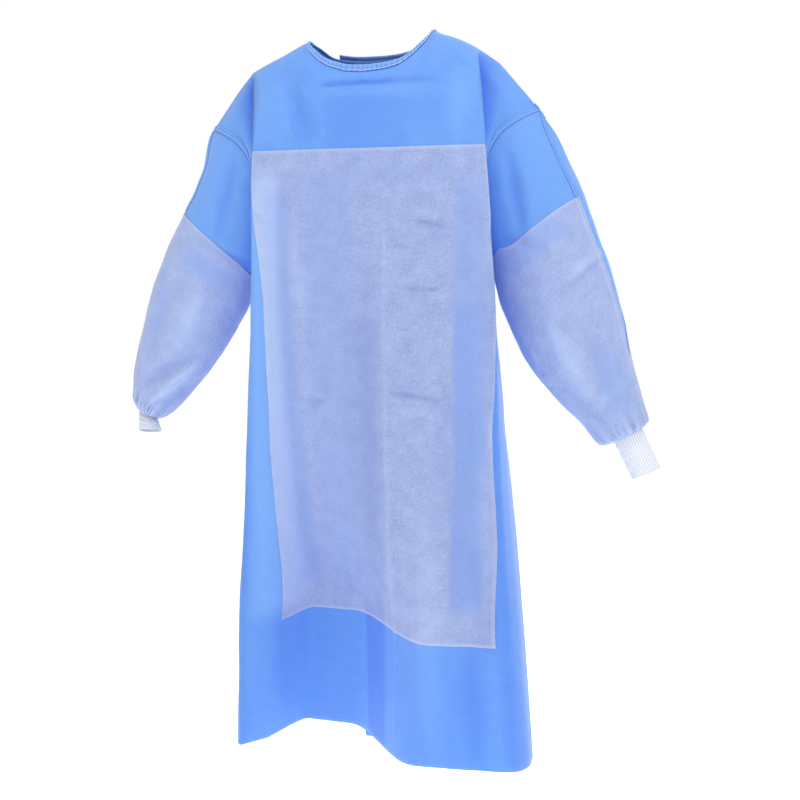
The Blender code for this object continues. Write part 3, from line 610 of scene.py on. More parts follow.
RIGHT_SLEEVE_CREASES = table(
    "face x0 z0 x1 z1 width height",
    (-1, -0.308, -0.542, -0.400, -0.618, 0.0075, 0.0072),
    (-1, -0.322, -0.541, -0.410, -0.582, 0.0130, -0.0068),
    (-1, -0.230, -0.205, -0.262, -0.330, 0.0130, -0.0035),
    (-1, -0.216, -0.372, -0.300, -0.336, 0.0090, -0.0028),
    (-1, -0.290, -0.420, -0.345, -0.520, 0.0170, 0.0035),
    (-1, -0.345, -0.400, -0.392, -0.520, 0.0150, -0.0030),
    (-1, -0.318, -0.575, -0.372, -0.622, 0.0080, -0.0028),
    (1, -0.300, -0.250, -0.345, -0.340, 0.0150, -0.0040),
    (1, -0.262, -0.390, -0.340, -0.362, 0.0090, 0.0035),
    (1, -0.290, -0.450, -0.335, -0.550, 0.0150, -0.0035),
    (1, -0.360, -0.450, -0.402, -0.560, 0.0140, 0.0030),
)
# Where glue has wetted the reinforcement through, so that the blue under it shows: bands with
# a half width, how crisp their left side is, and a strength, from bottom to top.
GLUE = table(
    "x0 z0 x1 z1 width crisp strength",
    (-0.123, -0.960, -0.138, -0.225, 0.0210, 0.4, 0.50),
    (0.180, -0.965, 0.184, -0.400, 0.0235, 1.0, 0.72),
    (0.184, -0.500, 0.185, -0.215, 0.0230, 0.3, 0.44),
    (0.190, -0.960, 0.192, -0.800, 0.0150, 0.0, 0.86),
    (0.194, -0.740, 0.196, -0.560, 0.0140, 0.0, 0.84),
    (0.189, -0.420, 0.190, -0.320, 0.0110, 0.0, 0.62),
    (-0.060, -0.985, -0.052, -0.200, 0.0380, 0.0, 0.30),
    (-0.120, -0.232, 0.190, -0.226, 0.0140, 0.0, 0.20),
)
# Where the front falls into soft shade, in the same terms.
FRONT_SHADES = table(
    "x0 z0 x1 z1 width crisp strength",
    (-0.002, -1.240, -0.004, -0.930, 0.0230, 0.8, 0.62),
    (-0.020, -0.240, -0.030, -0.074, 0.0330, 0.0, 0.20),
    (0.044, -0.240, 0.030, -0.068, 0.0400, 0.0, 0.16),
    (-0.074, -0.200, -0.128, -0.048, 0.0240, 1.0, 0.20),
    (0.070, -0.0785, -0.078, -0.0850, 0.0034, 0.0, 0.50),
    (0.150, -0.076, 0.040, -0.0790, 0.0040, 0.0, 0.24),
    (0.118, -0.130, 0.122, -0.050, 0.0070, 0.0, 0.22),
    (0.165, -0.080, 0.128, -0.022, 0.0170, 0.0, 0.24),
    (-0.170, -0.058, -0.060, -0.070, 0.0120, 0.0, 0.16),
    (-0.002, -0.960, 0.002, -0.420, 0.0300, 0.0, 0.26),
    (-0.250, -1.240, -0.206, -0.360, 0.0280, 0.0, 0.34),
    (0.218, -1.040, 0.206, -0.800, 0.0220, 0.0, 0.34),
    (0.276, -1.240, 0.226, -0.360, 0.0300, 0.0, 0.42),
    (0.060, -0.180, 0.052, -0.070, 0.0900, 0.0, 0.14),
    (-0.120, -1.240, -0.118, -0.960, 0.0900, 0.0, 0.22),
    (0.130, -1.240, 0.128, -0.980, 0.0900, 0.0, 0.20),
)
# Where it catches the light.
FRONT_LIGHTS = table(
    "x0 z0 x1 z1 width crisp strength",
    (-0.165, -1.000, -0.168, -0.200, 0.0300, 0.0, 0.90),
    (0.212, -0.900, 0.200, -0.200, 0.0140, 0.0, 0.12),
    (-0.150, -0.190, -0.150, -0.050, 0.0340, 0.0, 0.30),
    (0.176, -0.190, 0.172, -0.050, 0.0160, 0.0, 0.10),
)
# Glue on the left sleeve's patch, where the blue under it shows. The second band is also widened to paint the shade
# over the lower part of the sleeve.
LEFT_SLEEVE_GLUE_AND_SHADE = table(
    "x0 z0 x1 z1 width crisp strength",
    (0.345, -0.290, 0.215, -0.395, 0.0170, 0.0, 0.50),
    (0.382, -0.490, 0.430, -0.640, 0.0220, 0.3, 0.46),
)
RIGHT_SLEEVE_GLUE = table(
    "x0 z0 x1 z1 width crisp strength",
    (-0.232, -0.425, -0.345, -0.340, 0.0170, 0.0, 0.62),
    (-0.360, -0.380, -0.400, -0.520, 0.0100, 0.0, 0.30),
)
# Where each sleeve patch starts along the sleeve, round it from the outer edge over the front.
LEFT_PATCH_TOP = table(
    "turn along", (0.0, 0.27), (0.28, 0.252), (0.35, 0.220), (0.42, 0.214), (0.6, 0.235), (1.0, 0.27)
)
RIGHT_PATCH_TOP = table("turn along", (0.0, 0.28), (0.2, 0.27), (0.34, 0.27), (0.45, 0.29), (1.0, 0.28))
# The sleeve seam's place round the sleeve, just in front of its outer edge.
SLEEVE_SEAM = table("along turn", (0.0, 0.0), (0.16, 0.056), (0.26, 0.070), (0.65, 0.052), (0.96, 0.030))

# The back edge of each sleeve patch, which meets the seam again near the cuff.
SLEEVE_PATCH_BACK = table(
    "along turn",
    (0.20, 0.930),
    (0.55, 0.950),
    (0.80, 1.030),
    (0.93, 1.030),
    (1.00, 1.030),
)


def falloff(points, x0, z0, x1, z1, width):
    """1 on the line between two places of the front view, down to 0 at a few widths from it."""
    start, end = np.array([x0, z0]), np.array([x1, z1])
    run = end - start
    flat = points[..., (0, 2)] - start
    at = np.clip(flat @ run / (run @ run), 0, 1)
    off = np.linalg.norm(flat - at[..., None] * run, axis=-1) / width
    slim = 0.45 + 0.55 * np.sin(np.pi * np.clip(at, 0, 1)) ** 0.7
    return np.exp(-((off / slim) ** 2)) * slim**1.5


def creased(points, creases, face=None):
    """How far the creases move the cloth in or out at these points."""
    move = np.zeros(points.shape[:-1])
    for values in zip(*creases.values()):
        place = dict(zip(creases, values))
        height = place.pop("height")
        side = place.pop("face", None)
        part = falloff(points, **place) * height * CREASE_GAIN
        if side is not None:
            part = part * smooth(0.05, 0.60, side * face)
        move = move + part
    return move


def ripple(points, size, seed):
    """A soft unevenness of the cloth, from -1 to 1, the same wherever it is asked for."""
    across, up = size
    flat = points.reshape(-1, 3)
    found = [noise.noise(Vector((p[0] / across, p[2] / up, seed))) for p in flat]
    return np.array(found).reshape(points.shape[:-1])


def banded(points, x0, z0, x1, z1, width, crisp):
    """1 in a straight band between two places, with soft ends; its left side may be crisp."""
    start, end = np.array([x0, z0]), np.array([x1, z1])
    long = np.linalg.norm(end - start)
    run = (end - start) / long
    flat = points[..., (0, 2)] - start
    at = flat @ run
    off = flat @ np.array([run[1], -run[0]]) / width
    left = smooth(-1.45 + 0.35 * crisp, -0.60 - 0.35 * crisp, off)
    return left * (1 - smooth(0.6, 1.4, off)) * smooth(0, 0.05, at) * (1 - smooth(long - 0.05, long, at))


def marked(points, bands):
    """How strongly the bands of a table mark these points."""
    mark = np.zeros(points.shape[:-1])
    for x0, z0, x1, z1, width, crisp, strength in zip(*bands.values()):
        mark = np.maximum(mark, strength * banded(points, x0, z0, x1, z1, width, crisp))
    return mark


def normals_of(grid, flip, closed=False):
    """The outward normals at a grid's points, each the sum of those of the faces round it."""
    if closed:
        grid = np.concatenate([grid, grid[:, :1]], axis=1)
    face = np.cross(grid[1:, 1:] - grid[:-1, :-1], grid[:-1, 1:] - grid[1:, :-1])
    out = np.zeros_like(grid)
    for rows_at in (slice(None, -1), slice(1, None)):
        for columns_at in (slice(None, -1), slice(1, None)):
            out[rows_at, columns_at] += face * (-1 if flip else 1)
    if closed:
        out[:, 0] += out[:, -1]
        out = out[:, :-1]
    return out


def share(panels):
    """Unit normals for each panel, summed where two panels have the same point."""
    found = {}
    keys = [list(map(tuple, np.round(grid.reshape(-1, 3), 6))) for grid, _ in panels]
    for key, (_, up) in zip(keys, panels):
        for place, normal in zip(key, up.reshape(-1, 3)):
            found[place] = found.get(place, 0) + normal
    out = []
    for key, (grid, _) in zip(keys, panels):
        up = np.array([found[place] for place in key]).reshape(grid.shape)
        up[..., 1] = np.where(np.abs(grid[..., 1]) < 1e-7, 0, up[..., 1])
        out.append(up / np.linalg.norm(up, axis=-1, keepdims=True))
    return out


def lengths(grid, axis):
    """The distance run along each line of a grid, from its first point."""
    step = np.linalg.norm(np.diff(grid, axis=axis), axis=-1)
    first = np.zeros_like(np.take(step, [0], axis=axis))
    return np.concatenate([first, np.cumsum(step, axis=axis)], axis=axis)


def on_grid(grid, lines, columns):
    """Points of a grid at these fractional lines and columns."""
    lines, columns = np.broadcast_arrays(np.asarray(lines, float), np.asarray(columns, float))
    i = np.clip(np.floor(lines).astype(int), 0, grid.shape[0] - 2)
    j = np.floor(columns).astype(int)
    down, over = (lines - i)[..., None], (columns - j)[..., None]
    last = grid.shape[1]
    corner = lambda a, b: grid[i + a, (j + b) % last]
    return (
        corner(0, 0) * (1 - down) * (1 - over)
        + corner(1, 0) * down * (1 - over)
        + corner(0, 1) * (1 - down) * over
        + corner(1, 1) * down * over
    )


def cloth(name, grid, thickness, look, closed=False, flip=False, marks=None):
    """A sheet of cloth on a grid of points, with its thickness laid on the inner side."""
    if closed:
        grid = np.concatenate([grid, grid[:, :1]], axis=1)
    lines, count = grid.shape[:2]
    used = count - 1 if closed else count
    index = np.arange(lines)[:, None] * used + np.arange(count)[None, :] % used
    turn = -1 if flip else 1
    around = lambda table: [table[:-1, :-1], table[:-1, 1:], table[1:, 1:], table[1:, :-1]][::turn]
    quads = np.stack(around(index), axis=-1).reshape(-1, 4)
    mesh = bpy.data.meshes.new(name)
    mesh.from_pydata(grid[:, :used].reshape(-1, 3).tolist(), [], quads.tolist())
    places = np.stack([lengths(grid, 1), lengths(grid, 0)], axis=-1)
    layer = mesh.uv_layers.new(name="cloth")
    layer.data.foreach_set("uv", np.stack(around(places), axis=2).ravel())
    for mark, values in (marks or {}).items():
        kept = mesh.attributes.new(mark, "FLOAT", "POINT")
        kept.data.foreach_set("value", values[:, :used].ravel())
    mesh.shade_smooth()
    piece = bpy.data.objects.new(name, mesh)
    bpy.context.collection.objects.link(piece)
    bpy.context.view_layer.objects.active = piece
    shell = piece.modifiers.new("thickness", "SOLIDIFY")
    shell.thickness = thickness
    shell.offset = -1
    bpy.ops.object.modifier_apply(modifier=shell.name)
    piece.data.materials.append(look)
    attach(piece, "root")
    return piece


def declare(node):
    """The piece stands for its solid, which is hidden when it is named."""
    if node:
        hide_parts(node)


def stitches(name, path, normals, look, pitch=STITCH):
    """A row of lock stitches along a path on the cloth: one short thread for each."""
    along = np.concatenate([[0], np.cumsum(np.linalg.norm(np.diff(path, axis=0), axis=1))])
    count = max(2, int(along[-1] / pitch))
    at = (np.arange(count) + 0.5) * along[-1] / count
    pick = lambda table, where: np.stack([np.interp(where, along, table[:, k]) for k in range(3)], -1)
    ring = np.linspace(0, 2 * np.pi, 6, endpoint=False)
    corners, faces = [], []
    spots = ((-0.46, -0.7, 0.35), (-0.30, 0.25, 1.0), (0.30, 0.25, 1.0), (0.46, -0.7, 0.35))
    for centre in at:
        base = len(corners)
        for step, lift, fat in spots:
            where = centre + step * pitch
            point, up = pick(path, [where])[0], pick(normals, [where])[0]
            ahead = pick(path, [where + 0.0005])[0] - pick(path, [where - 0.0005])[0]
            ahead = ahead / max(np.linalg.norm(ahead), 1e-9)
            side = np.cross(ahead, up)
            for angle in ring:
                turn = np.cos(angle) * side + np.sin(angle) * up
                corners.append(point + up * lift * THREAD + turn * fat * THREAD * 0.5)
        for part in range(3):
            for k in range(6):
                a, b = base + part * 6 + k, base + part * 6 + (k + 1) % 6
                faces.append((a, b, b + 6, a + 6))
        faces.append(tuple(base + k for k in range(6))[::-1])
        faces.append(tuple(base + 18 + k for k in range(6)))
    mesh = bpy.data.meshes.new(name)
    mesh.from_pydata([tuple(c) for c in corners], [], faces)
    mesh.shade_smooth()
    piece = bpy.data.objects.new(name, mesh)
    bpy.context.collection.objects.link(piece)
    piece.data.materials.append(look)
    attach(piece, "root")
    return piece


def linear(colour):
    """A colour written as sRGB hex, as the linear values that a shader takes."""
    parts = [int(colour[i : i + 2], 16) / 255 for i in (1, 3, 5)]
    return (*[p / 12.92 if p <= 0.04045 else ((p + 0.055) / 1.055) ** 2.4 for p in parts], 1)


def add(tree, kind, settings=None, **inputs):
    """Adds a node with its settings; an input is a value, or a (node, output) to link."""
    made = tree.nodes.new("ShaderNode" + kind)
    for key, value in (settings or {}).items():
        setattr(made, key, value)
    for key, value in inputs.items():
        socket = made.inputs[int(key[1:])] if key[1:].isdigit() else made.inputs[key.replace("_", " ")]
        if isinstance(value, tuple) and isinstance(value[0], bpy.types.Node):
            tree.links.new(value[0].outputs[value[1]], socket)
        else:
            socket.default_value = value
    return made


def finish_of(name, roughness, sheen=0.0, translucent=0.0):
    """A new material with its shader, ready for its nodes."""
    made = bpy.data.materials.new(name)
    made.use_nodes = True
    shader = made.node_tree.nodes["Principled BSDF"]
    shader.inputs["Roughness"].default_value = roughness
    shader.inputs["Sheen Weight"].default_value = sheen
    shader.inputs["IOR"].default_value = 1.5
    shader.inputs["Subsurface Weight"].default_value = translucent
    shader.inputs["Subsurface Radius"].default_value = (0.7, 0.85, 1.0)
    shader.inputs["Subsurface Scale"].default_value = 0.0015
    return made, made.node_tree, shader


def ramp(tree, factor, low, high):
    """A soft step of a value from 0 at low to 1 at high."""
    return add(
        tree, "MapRange", {"interpolation_type": "SMOOTHSTEP"}, Value=factor, From_Min=low, From_Max=high
    )


def blended(tree, factor, first, second):
    """Two colours mixed by a factor; each colour is a hex value or a (node, output)."""
    made = add(tree, "Mix", {"data_type": "RGBA"}, i0=factor)
    for place, colour in ((6, first), (7, second)):
        if isinstance(colour, str):
            made.inputs[place].default_value = linear(colour)
        else:
            tree.links.new(colour[0].outputs[colour[1]], made.inputs[place])
    return (made, 2)


def with_painted_shading(tree, base, dark, light):
    """The cloth's colour with painted shade at the bottom of its creases and grooves and painted highlights on
    their crests, from the hollow and ridge marks.
    """
    for mark, colour, share_of in (("hollow", dark, 0.80), ("ridge", light, 0.45)):
        found = add(tree, "Attribute", {"attribute_name": mark})
        part = add(tree, "Math", {"operation": "MULTIPLY"}, i0=(found, 2), i1=share_of)
        base = blended(tree, (part, 0), base, colour)
    return base


def nonwoven(name, deep, plain, pale, dark, bond=0.0022, depth=0.00022):
    """Spunbond polypropylene: matt, with tiny heat-bonded dots and a little cloudy fibre.

    The bonds are really about a millimetre apart; they are drawn twice as coarse so that they show.
    """
    made, tree, shader = finish_of(name, 0.72, 0.2, 0.45)
    uv = add(tree, "UVMap", {"uv_map": "cloth"})
    cloud = add(tree, "TexNoise", Vector=(uv, 0), Scale=1 / 0.020, Detail=6.0, Roughness=0.7)
    fibre = add(tree, "TexNoise", Vector=(uv, 0), Scale=1 / 0.0024, Detail=4.0, Roughness=0.75)
    bonds = add(tree, "TexVoronoi", Vector=(uv, 0), Scale=1 / bond, Randomness=0.25)
    base = blended(tree, (ramp(tree, (cloud, 0), 0.25, 0.75), 0), deep, plain)
    grain = ramp(tree, (fibre, 0), 0.38, 0.78)
    faint = add(tree, "Math", {"operation": "MULTIPLY"}, i0=(grain, 0), i1=0.40)
    base = blended(tree, (faint, 0), base, pale)
    # Painted shade in the dark colour and painted highlights in pale blue, from the hollow and ridge marks.
    base = with_painted_shading(tree, base, dark, "#8dbcff")
    tree.links.new(base[0].outputs[2], shader.inputs["Base Color"])
    dot = ramp(tree, (bonds, 0), 0.10, 0.42)
    first = add(tree, "Bump", Strength=0.4, Distance=depth, Height=(dot, 0))
    second = add(tree, "Bump", Strength=0.5, Distance=0.0004, Height=(fibre, 0), Normal=(first, 0))
    tree.links.new(second.outputs[0], shader.inputs["Normal"])
    return made


def reinforcement():
    """Laminated reinforcement: a pale fibrous film whose glue lets the blue under it show through."""
    made, tree, shader = finish_of("laminated_reinforcement", 0.82, 0.2, 0.25)
    uv = add(tree, "UVMap", {"uv_map": "cloth"})
    across = add(tree, "Mapping", Vector=(uv, 0), Scale=(1 / 0.011, 1 / 0.0030, 1))
    down = add(tree, "Mapping", Vector=(uv, 0), Scale=(1 / 0.0032, 1 / 0.014, 1))
    times = lambda value, by: (add(tree, "Math", {"operation": "MULTIPLY"}, i0=value, i1=by), 0)
    fibres = add(tree, "TexNoise", Vector=(across, 0), Scale=1.0, Detail=4.0, Roughness=0.68)
    threads_down = add(tree, "TexNoise", Vector=(down, 0), Scale=1.0, Detail=3.0, Roughness=0.65)
    cloud = add(tree, "TexNoise", Vector=(uv, 0), Scale=1 / 0.030, Detail=7.0, Roughness=0.72)
    speck = add(tree, "TexNoise", Vector=(uv, 0), Scale=1 / 0.0042, Detail=5.0, Roughness=0.78)
    base = blended(tree, (ramp(tree, (cloud, 0), 0.28, 0.72), 0), "#8b9acd", "#a2b1de")
    base = blended(tree, times((ramp(tree, (fibres, 0), 0.36, 0.72), 0), 0.30), base, "#aebde8")
    base = blended(tree, times((ramp(tree, (threads_down, 0), 0.45, 0.75), 0), 0.22), base, "#7f9add")
    base = blended(tree, times((ramp(tree, (speck, 0), 0.50, 0.72), 0), 0.52), base, "#c3cff2")
    base = blended(tree, times((ramp(tree, (speck, 0), 0.50, 0.30), 0), 0.46), base, "#7d93d4")
    glue = add(tree, "Attribute", {"attribute_name": "glue"})
    broken = add(tree, "Math", {"operation": "MULTIPLY_ADD"}, i0=(speck, 0), i1=4.4, i2=-1.35)
    patchy = add(tree, "Math", {"operation": "MULTIPLY_ADD"}, i0=(cloud, 0), i1=1.8, i2=-0.15)
    wet = add(tree, "Math", {"operation": "MULTIPLY"}, i0=(glue, 2), i1=(broken, 0))
    wet = add(tree, "Math", {"operation": "MULTIPLY"}, i0=(wet, 0), i1=(patchy, 0))
    wet = add(tree, "Math", {"operation": "MINIMUM"}, i0=(wet, 0), i1=0.9)
    wet = add(tree, "Math", {"operation": "MAXIMUM"}, i0=(wet, 0), i1=0.0)
    base = blended(tree, (wet, 0), base, "#6d97e8")
    # Painted shade in deeper lavender and painted highlights in pale blue, from the marks carried over from the
    # cloth under the patch.
    base = with_painted_shading(tree, base, "#7f93cf", "#bcd2ff")
    edge = add(tree, "Attribute", {"attribute_name": "edge"})
    base = blended(tree, times((edge, 2), 0.55), base, "#bccbf4")
    tree.links.new(base[0].outputs[2], shader.inputs["Base Color"])
    first = add(tree, "Bump", Strength=0.5, Distance=0.0004, Height=(fibres, 0))
    second = add(tree, "Bump", Strength=0.4, Distance=0.0004, Height=(threads_down, 0), Normal=(first, 0))
    third = add(tree, "Bump", Strength=0.3, Distance=0.0005, Height=(speck, 0), Normal=(second, 0))
    tree.links.new(third.outputs[0], shader.inputs["Normal"])
    return made


def rib_knit():
    """Knitted cotton and polyester rib: soft white with painted shade between its ribs, and with stitches."""
    made, tree, shader = finish_of("rib_knit", 0.92, 0.5)
    uv = add(tree, "UVMap", {"uv_map": "cloth"})
    rib = add(tree, "Attribute", {"attribute_name": "rib"})
    courses = add(tree, "Mapping", Vector=(uv, 0), Scale=(1 / 0.0013, 1 / 0.0016, 1))
    loops = add(tree, "TexVoronoi", Vector=(courses, 0), Scale=1.0, Randomness=0.2)
    fuzz = add(tree, "TexNoise", Vector=(uv, 0), Scale=1 / 0.004, Detail=4.0, Roughness=0.6)
    # Painted shade between the ribs, from the rib mark: 0 in the valleys, 1 on the crests.
    base = blended(tree, (rib, 2), "#d3d9e8", "#fbfcff")
    loop = ramp(tree, (loops, 0), 0.2, 0.7)
    base = blended(tree, (add(tree, "Math", {"operation": "MULTIPLY"}, i0=(loop, 0), i1=0.12), 0), base, "#c3cbe0")
    base = blended(tree, (add(tree, "Math", {"operation": "MULTIPLY"}, i0=(fuzz, 0), i1=0.2), 0), base, "#d7deee")
    tree.links.new(base[0].outputs[2], shader.inputs["Base Color"])
    first = add(tree, "Bump", Strength=0.6, Distance=0.0005, Height=(loop, 0))
    second = add(tree, "Bump", Strength=0.3, Distance=0.0004, Height=(fuzz, 0), Normal=(first, 0))
    tree.links.new(second.outputs[0], shader.inputs["Normal"])
    return made


def thread_look(name, dark, light):
    """Polyester sewing thread: bright, slightly shiny, twisted."""
    made, tree, shader = finish_of(name, 0.55, 0.2)
    where = add(tree, "TexCoord")
    fuzz = add(tree, "TexNoise", Vector=(where, 3), Scale=1 / 0.0012, Detail=2.0)
    base = blended(tree, (ramp(tree, (fuzz, 0), 0.3, 0.7), 0), dark, light)
    tree.links.new(base[0].outputs[2], shader.inputs["Base Color"])
    bump = add(tree, "Bump", Strength=0.4, Distance=0.0002, Height=(fuzz, 0))
    tree.links.new(bump.outputs[0], shader.inputs["Normal"])
    return made


def tape_look():
    """Hook-and-loop tape: white nylon, with rows of tiny hooks."""
    made, tree, shader = finish_of("hook_tape", 0.7, 0.3)
    uv = add(tree, "UVMap", {"uv_map": "cloth"})
    hooks = add(tree, "TexVoronoi", Vector=(uv, 0), Scale=1 / 0.0015, Randomness=0.1)
    dot = ramp(tree, (hooks, 0), 0.15, 0.6)
    base = blended(tree, (dot, 0), "#f2f4f8", "#cfd5e2")
    tree.links.new(base[0].outputs[2], shader.inputs["Base Color"])
    bump = add(tree, "Bump", Strength=0.7, Distance=0.0004, Height=(dot, 0))
    tree.links.new(bump.outputs[0], shader.inputs["Normal"])
    return made


def sleeve_rings():
    """Where the sleeve's rings lie along it, closer together in its gathers."""
    return np.concatenate([np.linspace(0, 0.82, 84)[:-1], np.linspace(0.82, 1.0, 37)])


def sleeve_turns():
    """Where the sleeve's columns lie round it, to meet the rows of the body."""
    upper = [row for row in rows() if row >= UNDERARM_Z - 1e-9]
    heights = (UNDERARM_Z, PATCH_TOP_Z, NECK_FRONT_Z)
    front = np.interp(upper, heights, (0.5, 0.25, 0.0))[::-1]
    once = np.concatenate([front, 1 - front[-2:0:-1]])
    half = 0.5 * (once + np.append(once[1:], 1.0))
    return np.stack([once, half], axis=-1).ravel()


def tucked(grid, up):
    """The front with its shoulder folds pressed in behind their corners, and how deep each is."""
    heights = rows()
    depth = 0.014 * smooth(-0.230, -0.165, heights) * (1 - smooth(-0.125, NECK_FRONT_Z, heights)) ** 0.6
    depth = depth + 0.004 * smooth(-0.60, -0.30, heights) * (1 - smooth(-0.230, -0.165, heights))
    corner = SIDE_COUNTS[0] + SIDE_COUNTS[1]
    place = np.arange(grid.shape[1], dtype=float)
    place = np.minimum(place, grid.shape[1] - 1 - place) / corner
    pressed = smooth(0.25, 0.82, place) * (1 - smooth(0.90, 1.0, place))
    sunk = depth[:, None] * pressed[None, :]
    inward = np.where(np.arange(grid.shape[1]) < corner, 1.0, -1.0)
    moved = grid - 0.75 * sunk[..., None] * up
    moved[..., 0] += 0.45 * sunk * inward
    return moved, sunk / 0.014


def standing(points, edges):
    """How far the neck edge stands up into the opening at these points, on the wearer's left."""
    flat = points.reshape(-1, 3)
    move = np.zeros_like(flat)
    close = np.nonzero((flat[:, 0] > 0.04) & (flat[:, 2] > -0.08))[0]
    for k in close:
        far = np.linalg.norm(edges - flat[k], axis=1).min()
        inward = np.array([-flat[k, 0], -flat[k, 1], 0]) / np.linalg.norm(flat[k, :2])
        amount = smooth(0.013, 0.0, far) * smooth(0.055, 0.092, flat[k, 0])
        move[k] = amount * (0.0040 * inward + np.array([0, 0, 0.0046]))
    return move.reshape(points.shape)


def edge_fade(grid, reach, columns=(), lines=()):
    """0 on the named edges of a grid, 1 farther in than this reach."""
    across, up = lengths(grid, 1), lengths(grid, 0)
    fade = np.ones(grid.shape[:2])
    for end in columns:
        fade = fade * smooth(0, reach, np.abs(across - across[:, [end]]))
    for end in lines:
        fade = fade * smooth(0, reach, np.abs(up - up[[end]]))
    return fade


def gather_wave(angle, along):
    """The puckers where a sleeve is gathered into its cuff: above nought outward, round it."""
    fine = smooth(0.86, 0.965, along) * (1 - 0.25 * smooth(0.965, 1.0, along))
    wave = 0.30 * np.cos(9 * angle) * smooth(0.80, 0.90, along) + 0.34 * np.cos(14 * angle + 1.3) * fine
    crisp = smooth(0.925, 0.975, along)
    return wave + (0.30 * fine + 0.50 * crisp) * np.cos(27 * angle + 3 * np.sin(3 * angle))


def hollow(pressed):
    """0 on the plain cloth, 1 at the bottom of its deepest creases."""
    return np.clip(-pressed / 0.0060, 0, 1)


def move_cloth(grid, up, creases, fade, amounts, seed, face=None):
    """The grid with its creases and its soft unevenness, along its normals."""
    move = creased(grid, creases, face)
    for size, amount in amounts:
        seed = seed + 7.3
        move = move + amount * ripple(grid, size, seed)
    return grid + (move * fade)[..., None] * up


WAVES = (((0.090, 0.160), 0.0026), ((0.035, 0.060), 0.0009), ((0.016, 0.022), 0.0003))
SLEEVE_WAVES = (((0.070, 0.080), 0.0030), ((0.028, 0.034), 0.0010), ((0.013, 0.015), 0.0003))

front = front_points()
backs = {side: back_points(side) for side in ("left", "right")}
turns = sleeve_turns()
sleeves = {side: sleeve_points(side, turns, sleeve_rings()) for side in backs}
turned = {"left": False, "right": True}

raw = [(front, normals_of(front, flip=True))]
raw += [(backs[side], normals_of(backs[side], flip=not turned[side])) for side in backs]
raw += [(sleeves[side], normals_of(sleeves[side], not turned[side], closed=True)) for side in backs]
ups = share(raw)

fade = edge_fade(front, 0.030, columns=(0, -1), lines=(-1,))
pressed = creased(front, FRONT_CREASES) * fade
front = move_cloth(front, ups[0], FRONT_CREASES, fade, WAVES, 1.7)
front, grooves = tucked(front, ups[0])
# Painted shade for the front: in its creases, less on the chest, in the shoulder grooves and in the FRONT_SHADES
# bands; painted highlights on its crests and in the FRONT_LIGHTS bands.
folds = marked(front, FRONT_SHADES)
chest = smooth(PATCH_TOP_Z, -0.17, front[..., 2])
painted_shades = {"front": (0.55 - 0.40 * chest) * hollow(pressed) + 2.2 * grooves + folds}
painted_highlights = {"front": 0.7 * hollow(-pressed) + marked(front, FRONT_LIGHTS)}
back_moves = {}
for i, side in enumerate(backs):
    fade = edge_fade(backs[side], 0.030, columns=(0,), lines=(-1,))
    flat = backs[side] * (1, 0, 1)
    move = creased(flat, BACK_CREASES)
    for k, (size, amount) in enumerate(WAVES):
        move = move + amount * ripple(flat, size, 40.3 + 7.3 * k)
    back_moves[side] = (backs[side].reshape(-1, 3), ((move * fade)[..., None] * ups[1 + i]).reshape(-1, 3))
    backs[side] = backs[side] + (move * fade)[..., None] * ups[1 + i]
    # Painted shade in the back's creases; painted highlights on its crests and painted light across the top few
    # centimetres under the neck, which brighten the inside of the neck opening.
    pressed = creased(flat, BACK_CREASES) * fade
    painted_shades["back_" + side] = 0.55 * hollow(pressed)
    painted_highlights["back_" + side] = 0.7 * hollow(-pressed) + 1.2 * smooth(-0.070, -0.040, backs[side][..., 2])
for i, side in enumerate(sleeves):
    grid = sleeves[side]
    fade = smooth(0, 0.06, sleeve_rings())[:, None] * (1 - smooth(0.93, 0.985, sleeve_rings()))[:, None]
    creases = LEFT_SLEEVE_CREASES if side == "left" else RIGHT_SLEEVE_CREASES
    face = np.sign(ups[3 + i][..., 1]) * np.minimum(1, np.abs(ups[3 + i][..., 1]) * 2)
    seed = 11.1 if side == "left" else 23.9
    pressed = creased(grid, creases, face) * fade
    gathers = np.array([-gather_wave(2 * np.pi * turns, along) for along in sleeve_rings()])
    gathers = gathers * smooth(0.86, 0.93, sleeve_rings())[:, None]
    # Painted shade in the sleeve's creases and between its gathers; painted light over the whole sleeve, stronger
    # on its crests and on the tops of the gathers.
    painted_shades["sleeve_" + side] = 0.55 * hollow(pressed) + 0.8 * np.clip(gathers, 0, 1)
    painted_highlights["sleeve_" + side] = 0.30 + 0.8 * hollow(-pressed) + 0.8 * np.clip(-gathers, 0, 1)
    sleeves[side] = move_cloth(grid, ups[3 + i], creases, fade, SLEEVE_WAVES, seed, face)

neck = sum(SIDE_COUNTS)
edges = np.concatenate([front[-1, neck : front.shape[1] - neck], backs["left"][-1, neck:]])
front = front + standing(front, edges)
backs = {side: grid + standing(grid, edges) for side, grid in backs.items()}
raw = [(front, normals_of(front, flip=True))]
raw += [(backs[side], normals_of(backs[side], flip=not turned[side])) for side in backs]
raw += [(sleeves[side], normals_of(sleeves[side], not turned[side], closed=True)) for side in backs]
ups = share(raw)

# The last colour of each cloth is its painted shade, for creases, grooves and the tape's puckers.
blue = nonwoven("spunbond_nonwoven", "#6097ea", "#679dee", "#7aacf4", "#3570e0")
tape_blue = nonwoven("binding_tape", "#6fa0ec", "#7babf2", "#92bcf8", "#4a7fe0", bond=0.0016)
lavender = reinforcement()
knit = rib_knit()
thread = thread_look("white_polyester_thread", "#dbe6fb", "#f6f9ff")
tape = tape_look()
# Dark blue thread that paints the shadow under the neck tape's lower edge.
shadow_line_thread = thread_look("painted_shadow_thread", "#2f5fc8", "#4a7ee2")
thread_blue = thread_look("blue_polyester_thread", "#86b2f6", "#b4d2ff")

